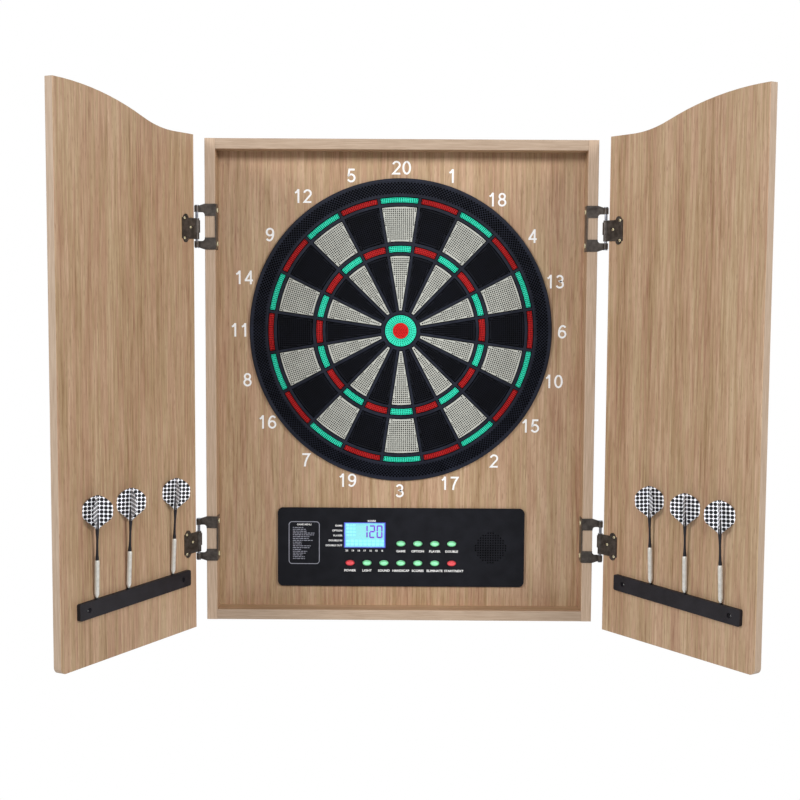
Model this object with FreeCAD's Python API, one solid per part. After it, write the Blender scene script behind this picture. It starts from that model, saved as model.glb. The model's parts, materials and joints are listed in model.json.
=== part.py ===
import FreeCAD, Part
import math
import os

# Electronic dart board in a two-door wooden wall cabinet, doors standing open.
# Millimetres. +Z up, -Y towards the player, back plane at y = 0.
# The origin is on the back plane, on the axis of the bull.
# Closed doors are modelled first and then swung about their hinge axes.

V = FreeCAD.Vector
X_AXIS = V(1, 0, 0)
Y_AXIS = V(0, 1, 0)
Z_AXIS = V(0, 0, 1)
ORIGIN = V(0, 0, 0)

# cutting tools run this far past the piece they cut
OVER = 1.0
# room left under a screw's point
SCREW_SPARE = 0.3

# ---- cabinet carcass ----
CAB_HALF_W = 251.3
CAB_TOP = 244.6
CAB_BOTTOM = -378.0
CAB_DEPTH = 70.0
PANEL_T = 13.5
BACK_T = 3.0
FACE_T = 9.0
RECESS = 28.0
EASE = 0.8
FRONT_Y = -CAB_DEPTH
FACE_Y = FRONT_Y + RECESS
FACE_BACK_Y = FACE_Y + FACE_T
INNER_HALF_W = CAB_HALF_W - PANEL_T
INNER_TOP = CAB_TOP - PANEL_T
INNER_BOTTOM = CAB_BOTTOM + PANEL_T

# wall screw holes in the back panel
HANG_SPACING = 406.4
HANG_Z = 200.0
HANG_HOLE_R = 2.75

# ---- doors ----
DOOR_T = 12.0
DOOR_GAP = 2.8
DOOR_NEAR = 6.5
DOOR_FAR = 260.0
DOOR_BOTTOM = -386.0
DOOR_LOW_TOP = 248.0
OGEE_START = 45.0
OGEE_TURN = 105.0
OGEE_LOW_R = 178.0
OGEE_HIGH_R = 460.0
DOOR_CORNER_R = 8.0
DOOR_EASE = 0.6
LEFT_OPEN_DEG = 118.0
RIGHT_OPEN_DEG = 124.6
AXIS_X = 261.0
AXIS_Y = FRONT_Y - 3.5
DOOR_IN_Y = FRONT_Y - DOOR_GAP
DOOR_OUT_Y = DOOR_IN_Y - DOOR_T

# ---- hinges ----
HINGE_Z = [("upper", 132.5), ("lower", -271.0)]
PLATE_T = 1.1
BRACKET_HALF_H = 29.1
BRACKET_TIP_HALF_H = 26.0
STRAP_IN = 13.75
WINDOW_HALF_H = 18.2
WINDOW_R = 3.5
STRIP_DEPTH = 19.0
STRAP_SEAT = 0.2
WINDOW_PAST_AXIS = 4.0
BARREL_R = 3.2
BARREL_START = 18.5
PIN_R = 1.9
PIN_HOLE_R = 1.95
PIN_HALF_H = 26.3
PIN_HEAD_R = 2.8
PIN_HEAD_H = 1.0
CAM_R = 4.3
CAM_HALF_H = 7.8
LEAF_LEN = 32.0
LEAF_DROP = 2.9
PIN_BORE_REACH = 40.0
LEAF_HALF_H = 13.2
EAR_U = 24.5
EAR_Z = 12.6
EAR_R = 5.2
LEAF_SCREWS = [(EAR_U, EAR_Z), (12.2, 1.4), (EAR_U, -EAR_Z)]
BRACKET_SCREW_Z = 21.5
BRACKET_SCREW_Y = FRONT_Y + 10.5

# ---- screws ----
SCREW_R = 1.6
SCREW_HOLE_R = 1.7
SCREW_HEAD_R = 3.2
SCREW_HEAD_H = 1.3
SCREW_LEN = 9.0
LEAF_HEAD_H = 0.5

# ---- dart racks and darts ----
RACK_NEAR = 28.6
RACK_FAR = 236.9
RACK_SHIFT = {"left": -3.7, "right": 3.7}
RACK_TOP = {"left": -308.0, "right": -310.1}
RACK_TILT_DEG = {"left": 0.74, "right": 1.22}
RACK_H = 20.0
RACK_D = 5.0
RACK_CORNER_R = 2.5
RACK_SCREW_INSET = 16.0
RACK_SCREW_LEN = 6.0
RACK_SCREW_HEAD_R = 2.3
RACK_BORE_R = 3.2
RACK_BORE_DEPTH = 1.8
RACK_HOLE_OFF = 3.0
RACK_HOLE_R = 1.3
RACK_HOLE_DEPTH = 17.8
RACK_HOLES = 6
RACK_HOLE_FIRST = 63.1
RACK_HOLE_PITCH = 28.6
DART_HOLES = {"left": [0, 3, 5], "right": [1, 3, 5]}
DART_LEAN_DEG = 3.4
DART_SWAY_DEG = {"left": [0.3, 0.7, 2.2], "right": [0.8, 1.9, 0.4]}

# dart heights are measured upwards from the mouth of the rack hole
TIP_GAP = 0.3
COLLAR_R = 2.2
COLLAR_H = 1.6
BARREL_BOTTOM = TIP_GAP + COLLAR_H
BARREL_TOP = 46.8
BARREL_NOSE = 4.0
BARREL_NOSE_R = 1.4
DART_BARREL_R = 2.9
TIP_LEN = 17.0
TIP_R = 1.0
TIP_END_R = 0.3
SHAFT_LEN = 52.0
SHAFT_R = 2.1
SHAFT_WAIST_R = 1.4
FLIGHT_BOTTOM = 83.6
FLIGHT_TOP = 124.3
FLIGHT_HALF_W = 18.0
FLIGHT_ROOT = 3.5
FLIGHT_HEEL = 16.0
FLIGHT_SHOULDER = 10.0
FLIGHT_T = 0.5
FRONT_WINGS = {"left": [(53, 143), (60, 145), (30, 124)],
               "right": [(54, 144), (30, 122), (34, 124)]}
REAR_WINGS = (208, 332)

# ---- dart board ----
RING_R = 197.5
RING_PROUD = 3.0
RING_RIM = 3.5
RING_DISH = 0.8
RING_IN_R = 173.7
RING_IN_RIM_R = 176.7
RING_CHAMFER = 1.0
RING_BACK_GAP = 0.2
RING_T = 7.0
FACE_HOLE_R = 193.0
SLEEVE_R = 192.6
SLEEVE_IN_R = 188.6
TRAY_T = 3.0
TRAY_R = 206.0
TRAY_SCREW_R = 199.5
TRAY_SCREWS = 8
WEDGES = 20
BOARD_TWIST_DEG = -0.85
WALL_T = 3.0
RINGS = [(21.5, 25.6), (98.35, 101.6), (111.25, 115.1), (161.8, 165.4)]
SPIDER_Y = FACE_Y - RING_PROUD + 0.6
SEGMENT_Y = FACE_Y - 1.6
SEGMENT_CLEAR = 1.1
SPIDER_CLEAR = 0.25
TRAY_PILOT = 3.3
TRAY_BITE = 3.0
SPIDER_BACK_Y = FACE_BACK_Y - RING_BACK_GAP
TRAY_Y = FACE_BACK_Y + 3.0
MEMBRANE_T = 1.0
MEMBRANE_R = 187.5
MEMBRANE_Y = TRAY_Y - MEMBRANE_T
SEGMENT_BACK_Y = MEMBRANE_Y - 0.2
BULL_TRAVEL = 1.2
BULL_OUT_R = 20.3
BULL_MID_R = 10.6
BULL_IN_R = 10.1
BULL_OUT_Y = FACE_Y - 2.0
BULL_IN_Y = FACE_Y - 2.4

# ---- control panel ----
PLATE_X = 2.0
PLATE_Z = -286.3
PLATE_W = 326.0
PLATE_H = 104.8
PLATE_THICK = 2.5
PLATE_R = 7.0
PLATE_Y = FACE_Y - PLATE_THICK
CUT_W = 306.0
CUT_H = 84.0
LCD_X = -46.0
LCD_Z = -270.4
LCD_W = 56.0
LCD_H = 34.5
WINDOW_T = 1.2
WINDOW_SINK = 0.3
WINDOW_INSET = 0.15
LCD_INSET = 0.6
LCD_GAP = 0.1
BUTTON_HALF_W = 5.75
BUTTON_HALF_H = 3.5
BUTTON_CLEAR = 0.35
BUTTON_PROUD = 1.6
BUTTON_FLANGE = 1.2
BUTTON_ROUND = 0.7
FLANGE_GAP = 0.3
BUTTON_PITCH = 22.4
ROW_A_Z = -281.3
ROW_A_X = 1.8
ROW_A = ["game", "option", "player", "double"]
ROW_B_Z = -307.4
ROW_B_X = -65.3
ROW_B = ["power", "light", "sound", "handicap", "scores", "eliminate", "start_next"]
BOSS_R = 3.6
BOSS_INSET = 12.0
BOSS_ROOT = 0.5
PCB_W = 296.0
PCB_H = 76.0
PCB_T = 1.6
PCB_Y = FACE_Y + 5.0
PCB_SCREW_LEN = 4.5
MAT_T = 1.6
MAT_W = 164.0
MAT_H = 44.0
MAT_X = 12.0
MAT_Z = -293.9
SPEAKER_X = 120.5
SPEAKER_R = 20.0
SPEAKER_GAP = 0.2
BASKET_T = 2.0
GRILLE_PITCH = 3.3
GRILLE_HOLE_R = 1.0
GRILLE_R = 20.2


def box(x0, x1, y0, y1, z0, z1):
    size = (x1 - x0, y1 - y0, z1 - z0)
    return Part.makeBox(size[0], size[1], size[2], V(x0, y0, z0))


def post(radius, x, y, z0, z1):
    return Part.makeCylinder(radius, z1 - z0, V(x, y, z0), Z_AXIS)


def disc(radius, x, z, y0, y1):
    return Part.makeCylinder(radius, y1 - y0, V(x, y0, z), Y_AXIS)


def rod(radius, y, z, x0, x1):
    return Part.makeCylinder(radius, x1 - x0, V(x0, y, z), X_AXIS)


def tube(outer, inner, y0, y1):
    return disc(outer, 0, 0, y0, y1).cut(disc(inner, 0, 0, y0 - OVER, y1 + OVER))


def polygon(points):
    """Closed wire through (x, y, z) points."""
    loop = [V(*p) for p in points]
    loop.append(loop[0])
    return Part.makePolygon(loop)


def plate_xz(points, y0, y1):
    face = Part.Face(polygon([(x, y0, z) for x, z in points]))
    return face.extrude(V(0, y1 - y0, 0))


def mirror_x(shape):
    return shape.mirror(ORIGIN, X_AXIS)


def union(shapes):
    first = shapes[0]
    if len(shapes) == 1:
        return first
    return first.multiFuse(shapes[1:]).removeSplitter()


def group(shapes):
    return Part.makeCompound(shapes)


def front_edges(shape, y, along):
    """Straight edges of a board that lie on its front face."""
    picked = []
    for edge in shape.Edges:
        ends = [v.Point for v in edge.Vertexes]
        if len(ends) != 2:
            continue
        if abs(ends[0].y - y) > 1e-6 or abs(ends[1].y - y) > 1e-6:
            continue
        run = ends[1].sub(ends[0])
        if abs(run.dot(along)) > 0.99 * run.Length:
            picked.append(edge)
    return picked


def eased_board(x0, x1, y0, y1, z0, z1, along):
    board = box(x0, x1, y0, y1, z0, z1)
    return board.makeFillet(EASE, front_edges(board, y0, along))


def rounded_slab(cx, cz, width, height, radius, y0, y1):
    slab = box(cx - width / 2, cx + width / 2, y0, y1, cz - height / 2, cz + height / 2)
    corners = []
    for edge in slab.Edges:
        ends = [v.Point for v in edge.Vertexes]
        if abs(ends[0].y - ends[1].y) > 0.5 * (y1 - y0):
            corners.append(edge)
    return slab.makeFillet(radius, corners)


def ellipse_prism(cx, cz, half_w, half_h, y0, y1):
    curve = Part.Ellipse(V(cx, y0, cz), half_w, half_h)
    curve.Axis = Y_AXIS
    curve.XAxis = X_AXIS
    face = Part.Face(Part.Wire([curve.toShape()]))
    return face.extrude(V(0, y1 - y0, 0))


def screw_x(x, y, z, length):
    """Pan head screw along X, its head seated at x and its shank running to -X."""
    shank = rod(SCREW_R, y, z, x - length, x)
    head = rod(SCREW_HEAD_R, y, z, x, x + SCREW_HEAD_H)
    return union([shank, head])


def screw_y(x, z, y_head, length, head_r=SCREW_HEAD_R, head_h=SCREW_HEAD_H):
    """Screw along Y, its head seated at y_head and its shank running to -Y."""
    shank = disc(SCREW_R, x, z, y_head - length, y_head)
    head = disc(head_r, x, z, y_head, y_head + head_h)
    return union([shank, head])


def bracket_screw_spots():
    spots = []
    for _, zc in HINGE_Z:
        spots.append(zc + BRACKET_SCREW_Z)
        spots.append(zc - BRACKET_SCREW_Z)
    return spots


# ---- carcass ----

def side_panel_left():
    panel = eased_board(-CAB_HALF_W, -INNER_HALF_W, FRONT_Y, 0, CAB_BOTTOM, CAB_TOP, Z_AXIS)
    depth = SCREW_LEN - PLATE_T + SCREW_SPARE
    holes = [rod(SCREW_HOLE_R, BRACKET_SCREW_Y, z, -INNER_HALF_W - depth, -INNER_HALF_W + OVER)
             for z in bracket_screw_spots()]
    return panel.cut(group(holes))


def cross_panel(z0, z1):
    return eased_board(-INNER_HALF_W, INNER_HALF_W, FRONT_Y, 0, z0, z1, X_AXIS)


def back_panel():
    panel = box(-INNER_HALF_W, INNER_HALF_W, -BACK_T, 0, INNER_BOTTOM, INNER_TOP)
    holes = [disc(HANG_HOLE_R, side * HANG_SPACING / 2, HANG_Z, -BACK_T - OVER, OVER)
             for side in (-1, 1)]
    return panel.cut(group(holes))


def tray_screw_spots():
    spots = []
    for k in range(TRAY_SCREWS):
        angle = math.radians(360.0 * (k + 0.5) / TRAY_SCREWS)
        spots.append((TRAY_SCREW_R * math.cos(angle), TRAY_SCREW_R * math.sin(angle)))
    return spots


def face_panel():
    panel = box(-INNER_HALF_W, INNER_HALF_W, FACE_Y, FACE_BACK_Y, INNER_BOTTOM, INNER_TOP)
    tools = [disc(FACE_HOLE_R, 0, 0, FACE_Y - OVER, FACE_BACK_Y + OVER)]
    tools.append(box(PLATE_X - CUT_W / 2, PLATE_X + CUT_W / 2, FACE_Y - OVER, FACE_BACK_Y + OVER,
                     PLATE_Z - CUT_H / 2, PLATE_Z + CUT_H / 2))
    for x, z in tray_screw_spots():
        tools.append(disc(SCREW_HOLE_R, x, z, FACE_BACK_Y - TRAY_PILOT, FACE_BACK_Y + OVER))
    return panel.cut(group(tools))


# ---- dart board ----

def catch_ring():
    front = FACE_Y - RING_PROUD
    back = FACE_BACK_Y - RING_BACK_GAP
    profile = [(RING_IN_R, front), (RING_IN_RIM_R, front), (RING_IN_RIM_R, front + RING_DISH),
               (RING_R - RING_RIM, front + RING_DISH), (RING_R - RING_RIM, front),
               (RING_R - RING_CHAMFER, front), (RING_R, front + RING_CHAMFER), (RING_R, FACE_Y),
               (SLEEVE_R, FACE_Y), (SLEEVE_R, back), (SLEEVE_IN_R, back),
               (SLEEVE_IN_R, front + RING_T), (RING_IN_R, front + RING_T)]
    face = Part.Face(polygon([(r, y, 0) for r, y in profile]))
    return face.revolve(ORIGIN, Y_AXIS, 360)


def board_tray():
    tray = disc(TRAY_R, 0, 0, FACE_BACK_Y, TRAY_Y + TRAY_T)
    hollow = disc(SLEEVE_R, 0, 0, FACE_BACK_Y - OVER, TRAY_Y)
    holes = [disc(SCREW_HOLE_R, x, z, FACE_BACK_Y - OVER, TRAY_Y + TRAY_T + OVER)
             for x, z in tray_screw_spots()]
    return tray.cut(group([hollow] + holes))


def tray_screws():
    length = TRAY_Y + TRAY_T - FACE_BACK_Y + TRAY_BITE
    return group([screw_y(x, z, TRAY_Y + TRAY_T, length) for x, z in tray_screw_spots()])


def wedge_turn(shape, k):
    """Turns a shape at twelve o'clock to wedge k, clockwise seen from the front."""
    turned = shape.copy()
    turned.rotate(ORIGIN, Y_AXIS, 360.0 * k / WEDGES + BOARD_TWIST_DEG)
    return turned


def spider():
    rings = [tube(outer, inner, SPIDER_Y, SPIDER_BACK_Y) for inner, outer in RINGS]
    start = 0.5 * (RINGS[0][0] + RINGS[0][1])
    reach = RING_IN_R - SPIDER_CLEAR
    wall = box(-WALL_T / 2, WALL_T / 2, SPIDER_Y, SPIDER_BACK_Y, start, reach)
    walls = [wedge_turn(wall, k + 0.5) for k in range(WEDGES)]
    return union(rings + walls)


def segment(inner, outer):
    """One scoring segment at twelve o'clock between two radii."""
    half = math.radians(180.0 / WEDGES)
    side = WALL_T / 2 + SEGMENT_CLEAR

    def corner(radius, sign):
        angle = sign * (half - math.asin(side / radius))
        return V(radius * math.sin(angle), SEGMENT_Y, radius * math.cos(angle))

    edges = [Part.Arc(corner(outer, -1), V(0, SEGMENT_Y, outer), corner(outer, 1)).toShape(),
             Part.LineSegment(corner(outer, 1), corner(inner, 1)).toShape(),
             Part.Arc(corner(inner, 1), V(0, SEGMENT_Y, inner), corner(inner, -1)).toShape(),
             Part.LineSegment(corner(inner, -1), corner(outer, -1)).toShape()]
    face = Part.Face(Part.Wire(edges))
    return face.extrude(V(0, SEGMENT_BACK_Y - SEGMENT_Y, 0))


def segment_set(bands, first):
    pieces = []
    for inner, outer in bands:
        piece = segment(inner + SEGMENT_CLEAR, outer - SEGMENT_CLEAR)
        pieces += [wedge_turn(piece, k) for k in range(first, WEDGES, 2)]
    return group(pieces)


SINGLE_BANDS = [(RINGS[0][1], RINGS[1][0]), (RINGS[2][1], RINGS[3][0])]
BONUS_BANDS = [(RINGS[1][1], RINGS[2][0]), (RINGS[3][1], RING_IN_R)]


def sensor_membrane():
    return disc(MEMBRANE_R, 0, 0, MEMBRANE_Y, TRAY_Y)


def outer_bull():
    return tube(BULL_OUT_R, BULL_MID_R, BULL_OUT_Y, SEGMENT_BACK_Y - BULL_TRAVEL)


def inner_bull():
    return disc(BULL_IN_R, 0, 0, BULL_IN_Y, SEGMENT_BACK_Y - BULL_TRAVEL)


# ---- control panel ----

def button_spots():
    spots = [(name, ROW_A_X + k * BUTTON_PITCH, ROW_A_Z) for k, name in enumerate(ROW_A)]
    spots += [(name, ROW_B_X + k * BUTTON_PITCH, ROW_B_Z) for k, name in enumerate(ROW_B)]
    return spots


def boss_spots():
    dx = PCB_W / 2 - BOSS_INSET / 2
    dz = PCB_H / 2 - BOSS_INSET / 2
    return [(PLATE_X + sx * dx, PLATE_Z + sz * dz) for sx in (-1, 1) for sz in (-1, 1)]


def grille_spots():
    reach = int(GRILLE_R / GRILLE_PITCH)
    spots = []
    for i in range(-reach, reach + 1):
        for j in range(-reach, reach + 1):
            if math.hypot(i, j) * GRILLE_PITCH <= GRILLE_R:
                spots.append((SPEAKER_X + i * GRILLE_PITCH, PLATE_Z + j * GRILLE_PITCH))
    return spots


def control_faceplate():
    plate = rounded_slab(PLATE_X, PLATE_Z, PLATE_W, PLATE_H, PLATE_R, PLATE_Y, FACE_Y)
    bosses = [disc(BOSS_R, x, z, FACE_Y - BOSS_ROOT, PCB_Y) for x, z in boss_spots()]
    body = union([plate] + bosses)
    front = PLATE_Y - OVER
    back = FACE_Y + OVER
    tools = [box(LCD_X - LCD_W / 2, LCD_X + LCD_W / 2, front, back,
                 LCD_Z - LCD_H / 2, LCD_Z + LCD_H / 2)]
    for _, x, z in button_spots():
        tools.append(ellipse_prism(x, z, BUTTON_HALF_W + BUTTON_CLEAR,
                                   BUTTON_HALF_H + BUTTON_CLEAR, front, back))
    tools += [disc(SCREW_HOLE_R, x, z, FACE_Y + BOSS_ROOT, PCB_Y + OVER) for x, z in boss_spots()]
    tools += [disc(GRILLE_HOLE_R, x, z, front, back) for x, z in grille_spots()]
    return body.cut(group(tools))


def display_window():
    half_w = LCD_W / 2 - WINDOW_INSET
    half_h = LCD_H / 2 - WINDOW_INSET
    front = PLATE_Y + WINDOW_SINK
    return box(LCD_X - half_w, LCD_X + half_w, front, front + WINDOW_T,
               LCD_Z - half_h, LCD_Z + half_h)


def display_module():
    half_w = LCD_W / 2 - LCD_INSET
    half_h = LCD_H / 2 - LCD_INSET
    front = PLATE_Y + WINDOW_SINK + WINDOW_T + LCD_GAP
    return box(LCD_X - half_w, LCD_X + half_w, front, PCB_Y - LCD_GAP,
               LCD_Z - half_h, LCD_Z + half_h)


def circuit_board():
    board = box(PLATE_X - PCB_W / 2, PLATE_X + PCB_W / 2, PCB_Y, PCB_Y + PCB_T,
                PLATE_Z - PCB_H / 2, PLATE_Z + PCB_H / 2)
    return board.cut(group([disc(SCREW_HOLE_R, x, z, PCB_Y - OVER, PCB_Y + PCB_T + OVER)
                            for x, z in boss_spots()]))


def circuit_screws():
    return group([screw_y(x, z, PCB_Y + PCB_T, PCB_SCREW_LEN) for x, z in boss_spots()])


def keypad_mat():
    mat = box(MAT_X - MAT_W / 2, MAT_X + MAT_W / 2, PCB_Y - MAT_T, PCB_Y,
              MAT_Z - MAT_H / 2, MAT_Z + MAT_H / 2)
    return mat.cut(box(LCD_X - LCD_W / 2, LCD_X + LCD_W / 2, PCB_Y - MAT_T - OVER, PCB_Y + OVER,
                       LCD_Z - LCD_H / 2, MAT_Z + MAT_H))


def speaker():
    front = FACE_Y + SPEAKER_GAP
    basket = disc(SPEAKER_R, SPEAKER_X, PLATE_Z, front, front + BASKET_T)
    magnet = disc(SPEAKER_R / 2, SPEAKER_X, PLATE_Z, front + BASKET_T / 2, PCB_Y - LCD_GAP)
    return union([basket, magnet])


def button(x, z):
    cap_y = PLATE_Y - BUTTON_PROUD
    flange_y = FACE_Y + FLANGE_GAP
    cap = ellipse_prism(x, z, BUTTON_HALF_W, BUTTON_HALF_H, cap_y, flange_y + BUTTON_FLANGE)
    rim = [edge for edge in cap.Edges if abs(edge.BoundBox.YMax - cap_y) < 1e-3]
    cap = cap.makeFillet(BUTTON_ROUND, rim[:1])
    flange = ellipse_prism(x, z, BUTTON_HALF_W + BUTTON_FLANGE, BUTTON_HALF_H + BUTTON_FLANGE,
                           flange_y, flange_y + BUTTON_FLANGE)
    return union([cap, flange])


# ---- hinges, closed, left side ----

def hinge_bracket(zc):
    front = FRONT_Y - PLATE_T
    inner_x = -INNER_HALF_W + PLATE_T
    outline = [(inner_x, BRACKET_HALF_H), (-CAB_HALF_W, BRACKET_HALF_H),
               (-AXIS_X, BRACKET_TIP_HALF_H), (-AXIS_X, -BRACKET_TIP_HALF_H),
               (-CAB_HALF_W, -BRACKET_HALF_H), (inner_x, -BRACKET_HALF_H)]
    wrap = plate_xz([(x, zc + z) for x, z in outline], front, FRONT_Y)
    strip = box(-INNER_HALF_W, inner_x, front, front + STRIP_DEPTH,
                zc - BRACKET_HALF_H, zc + BRACKET_HALF_H)
    width = AXIS_X + WINDOW_PAST_AXIS - CAB_HALF_W
    window = rounded_slab(-CAB_HALF_W - width / 2, zc, width, 2 * WINDOW_HALF_H, WINDOW_R,
                          front - OVER, FRONT_Y + OVER)
    slot = box(-CAB_HALF_W - OVER, -INNER_HALF_W - STRAP_SEAT, front - OVER, FRONT_Y + OVER,
               zc - STRAP_IN, zc + STRAP_IN)
    arms = wrap.cut(group([window, slot]))
    barrels = [post(BARREL_R, -AXIS_X, AXIS_Y, zc + BARREL_START, zc + BRACKET_TIP_HALF_H),
               post(BARREL_R, -AXIS_X, AXIS_Y, zc - BRACKET_TIP_HALF_H, zc - BARREL_START)]
    body = union([arms, strip] + barrels)
    tools = [post(PIN_HOLE_R, -AXIS_X, AXIS_Y, zc - PIN_BORE_REACH, zc + PIN_BORE_REACH)]
    for sign in (-1, 1):
        tools.append(rod(SCREW_HOLE_R, BRACKET_SCREW_Y, zc + sign * BRACKET_SCREW_Z,
                         -INNER_HALF_W - OVER, inner_x + OVER))
    return body.cut(group(tools))


def hinge_pin(zc):
    shank = post(PIN_R, -AXIS_X, AXIS_Y, zc - PIN_HALF_H, zc + PIN_HALF_H)
    caps = [post(PIN_HEAD_R, -AXIS_X, AXIS_Y, zc + PIN_HALF_H, zc + PIN_HALF_H + PIN_HEAD_H),
            post(PIN_HEAD_R, -AXIS_X, AXIS_Y, zc - PIN_HALF_H - PIN_HEAD_H, zc - PIN_HALF_H)]
    return union([shank] + caps)


def bracket_screws_left():
    x = -INNER_HALF_W + PLATE_T
    return [screw_x(x, BRACKET_SCREW_Y, z, SCREW_LEN) for z in bracket_screw_spots()]


def hinge_leaf(middle):
    zc = middle - LEAF_DROP
    y0 = DOOR_IN_Y
    y1 = DOOR_IN_Y + PLATE_T
    plate = box(-AXIS_X, -AXIS_X + LEAF_LEN, y0, y1, zc - LEAF_HALF_H, zc + LEAF_HALF_H)
    ears = [disc(EAR_R, -AXIS_X + EAR_U, zc + sign * EAR_Z, y0, y1) for sign in (-1, 1)]
    knuckle = post(BARREL_R, -AXIS_X, AXIS_Y, zc - LEAF_HALF_H, zc + LEAF_HALF_H)
    cam = post(CAM_R, -AXIS_X, AXIS_Y, middle - CAM_HALF_H, middle + CAM_HALF_H)
    body = union([plate, knuckle, cam] + ears)
    tools = [post(PIN_HOLE_R, -AXIS_X, AXIS_Y, zc - PIN_BORE_REACH, zc + PIN_BORE_REACH)]
    for u, dz in LEAF_SCREWS:
        tools.append(disc(SCREW_HOLE_R, -AXIS_X + u, zc + dz, y0 - OVER, y1 + OVER))
    return body.cut(group(tools))


def leaf_screw_spots():
    return [(-AXIS_X + u, zc - LEAF_DROP + dz) for _, zc in HINGE_Z for u, dz in LEAF_SCREWS]


def leaf_screws():
    y = DOOR_IN_Y + PLATE_T
    return group([screw_y(x, z, y, SCREW_LEN, head_h=LEAF_HEAD_H) for x, z in leaf_screw_spots()])


# ---- doors, closed, left side ----

def rack_spot(side, u, drop):
    """Point on a rack, u along it from the hinge axis and drop below its top edge."""
    x = u + RACK_SHIFT[side]
    middle = (RACK_NEAR + RACK_FAR) / 2 + RACK_SHIFT[side]
    tilt = math.radians(RACK_TILT_DEG[side])
    return (-AXIS_X + middle + (x - middle) * math.cos(tilt) - drop * math.sin(tilt),
            RACK_TOP[side] - (x - middle) * math.sin(tilt) - drop * math.cos(tilt))


def rack_screw_spots(side):
    return [rack_spot(side, RACK_NEAR + RACK_SCREW_INSET, RACK_H / 2),
            rack_spot(side, RACK_FAR - RACK_SCREW_INSET, RACK_H / 2)]


def rack_mouth(side, k):
    return rack_spot(side, RACK_HOLE_FIRST + k * RACK_HOLE_PITCH, 0)


def ogee_outline(y):
    """Door outline: flat low top at the hinge side, rising in an ogee to the free edge."""
    low_end = DOOR_LOW_TOP + OGEE_LOW_R
    sweep = math.asin((OGEE_TURN - OGEE_START) / OGEE_LOW_R)
    turn_z = low_end - OGEE_LOW_R * math.cos(sweep)
    high_sweep = math.asin((DOOR_FAR - OGEE_TURN) / OGEE_HIGH_R)
    crown = turn_z + OGEE_HIGH_R * (1 - math.cos(high_sweep))
    centre_z = crown - OGEE_HIGH_R

    def spot(u, z):
        return V(-AXIS_X + u, y, z)

    low_mid = spot(OGEE_START + OGEE_LOW_R * math.sin(sweep / 2),
                   low_end - OGEE_LOW_R * math.cos(sweep / 2))
    high_mid = spot(DOOR_FAR - OGEE_HIGH_R * math.sin(high_sweep / 2),
                    centre_z + OGEE_HIGH_R * math.cos(high_sweep / 2))
    corner = DOOR_CORNER_R
    bend = corner * (1 - math.sqrt(0.5))
    return [Part.LineSegment(spot(DOOR_NEAR, DOOR_BOTTOM), spot(DOOR_NEAR, DOOR_LOW_TOP)),
            Part.LineSegment(spot(DOOR_NEAR, DOOR_LOW_TOP), spot(OGEE_START, DOOR_LOW_TOP)),
            Part.Arc(spot(OGEE_START, DOOR_LOW_TOP), low_mid, spot(OGEE_TURN, turn_z)),
            Part.Arc(spot(OGEE_TURN, turn_z), high_mid, spot(DOOR_FAR, crown)),
            Part.LineSegment(spot(DOOR_FAR, crown), spot(DOOR_FAR, DOOR_BOTTOM + corner)),
            Part.Arc(spot(DOOR_FAR, DOOR_BOTTOM + corner),
                     spot(DOOR_FAR - bend, DOOR_BOTTOM + bend),
                     spot(DOOR_FAR - corner, DOOR_BOTTOM)),
            Part.LineSegment(spot(DOOR_FAR - corner, DOOR_BOTTOM), spot(DOOR_NEAR, DOOR_BOTTOM))]


def door_panel(side):
    curves = ogee_outline(DOOR_OUT_Y)
    wire = Part.Wire([curve.toShape() for curve in curves])
    slab = Part.Face(wire).extrude(V(0, DOOR_T, 0))
    rims = []
    for edge in slab.Edges:
        bounds = edge.BoundBox
        if bounds.YLength < 0.01:
            rims.append(edge)
    slab = slab.makeChamfer(DOOR_EASE, rims)
    depth = SCREW_LEN - PLATE_T + SCREW_SPARE
    rack_depth = RACK_SCREW_LEN + SCREW_SPARE
    tools = [disc(SCREW_HOLE_R, x, z, DOOR_IN_Y - depth, DOOR_IN_Y + OVER)
             for x, z in leaf_screw_spots()]
    tools += [disc(SCREW_HOLE_R, x, z, DOOR_IN_Y - rack_depth, DOOR_IN_Y + OVER)
              for x, z in rack_screw_spots(side)]
    return slab.cut(group(tools))


def lean(shape, x, z, sway=0.0):
    """Tips an upright shape sideways and then away from the door, about the mouth of its rack hole."""
    mouth = V(x, DOOR_IN_Y + RACK_HOLE_OFF, z)
    tipped = shape.copy()
    tipped.rotate(mouth, Y_AXIS, sway)
    tipped.rotate(mouth, X_AXIS, -DART_LEAN_DEG)
    return tipped


def dart_rack(side):
    """Flat strip with raked tip holes in its top edge and sunk screw heads."""
    x, z = rack_spot(side, (RACK_NEAR + RACK_FAR) / 2, RACK_H / 2)
    front = DOOR_IN_Y + RACK_D
    bar = rounded_slab(x, z, RACK_FAR - RACK_NEAR, RACK_H, RACK_CORNER_R, DOOR_IN_Y, front)
    bar.rotate(V(x, 0, z), Y_AXIS, RACK_TILT_DEG[side])
    tools = []
    for k in range(RACK_HOLES):
        x, z = rack_mouth(side, k)
        hole = post(RACK_HOLE_R, x, DOOR_IN_Y + RACK_HOLE_OFF, z - RACK_HOLE_DEPTH, z + OVER)
        tools.append(lean(hole, x, z))
    for x, z in rack_screw_spots(side):
        tools.append(disc(SCREW_HOLE_R, x, z, DOOR_IN_Y - OVER, front + OVER))
        tools.append(disc(RACK_BORE_R, x, z, front - RACK_BORE_DEPTH, front + OVER))
    return bar.cut(group(tools))


def rack_screws(side):
    y = DOOR_IN_Y + RACK_D - RACK_BORE_DEPTH
    length = RACK_D - RACK_BORE_DEPTH + RACK_SCREW_LEN
    return group([screw_y(x, z, y, length, head_r=RACK_SCREW_HEAD_R)
                  for x, z in rack_screw_spots(side)])


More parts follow.
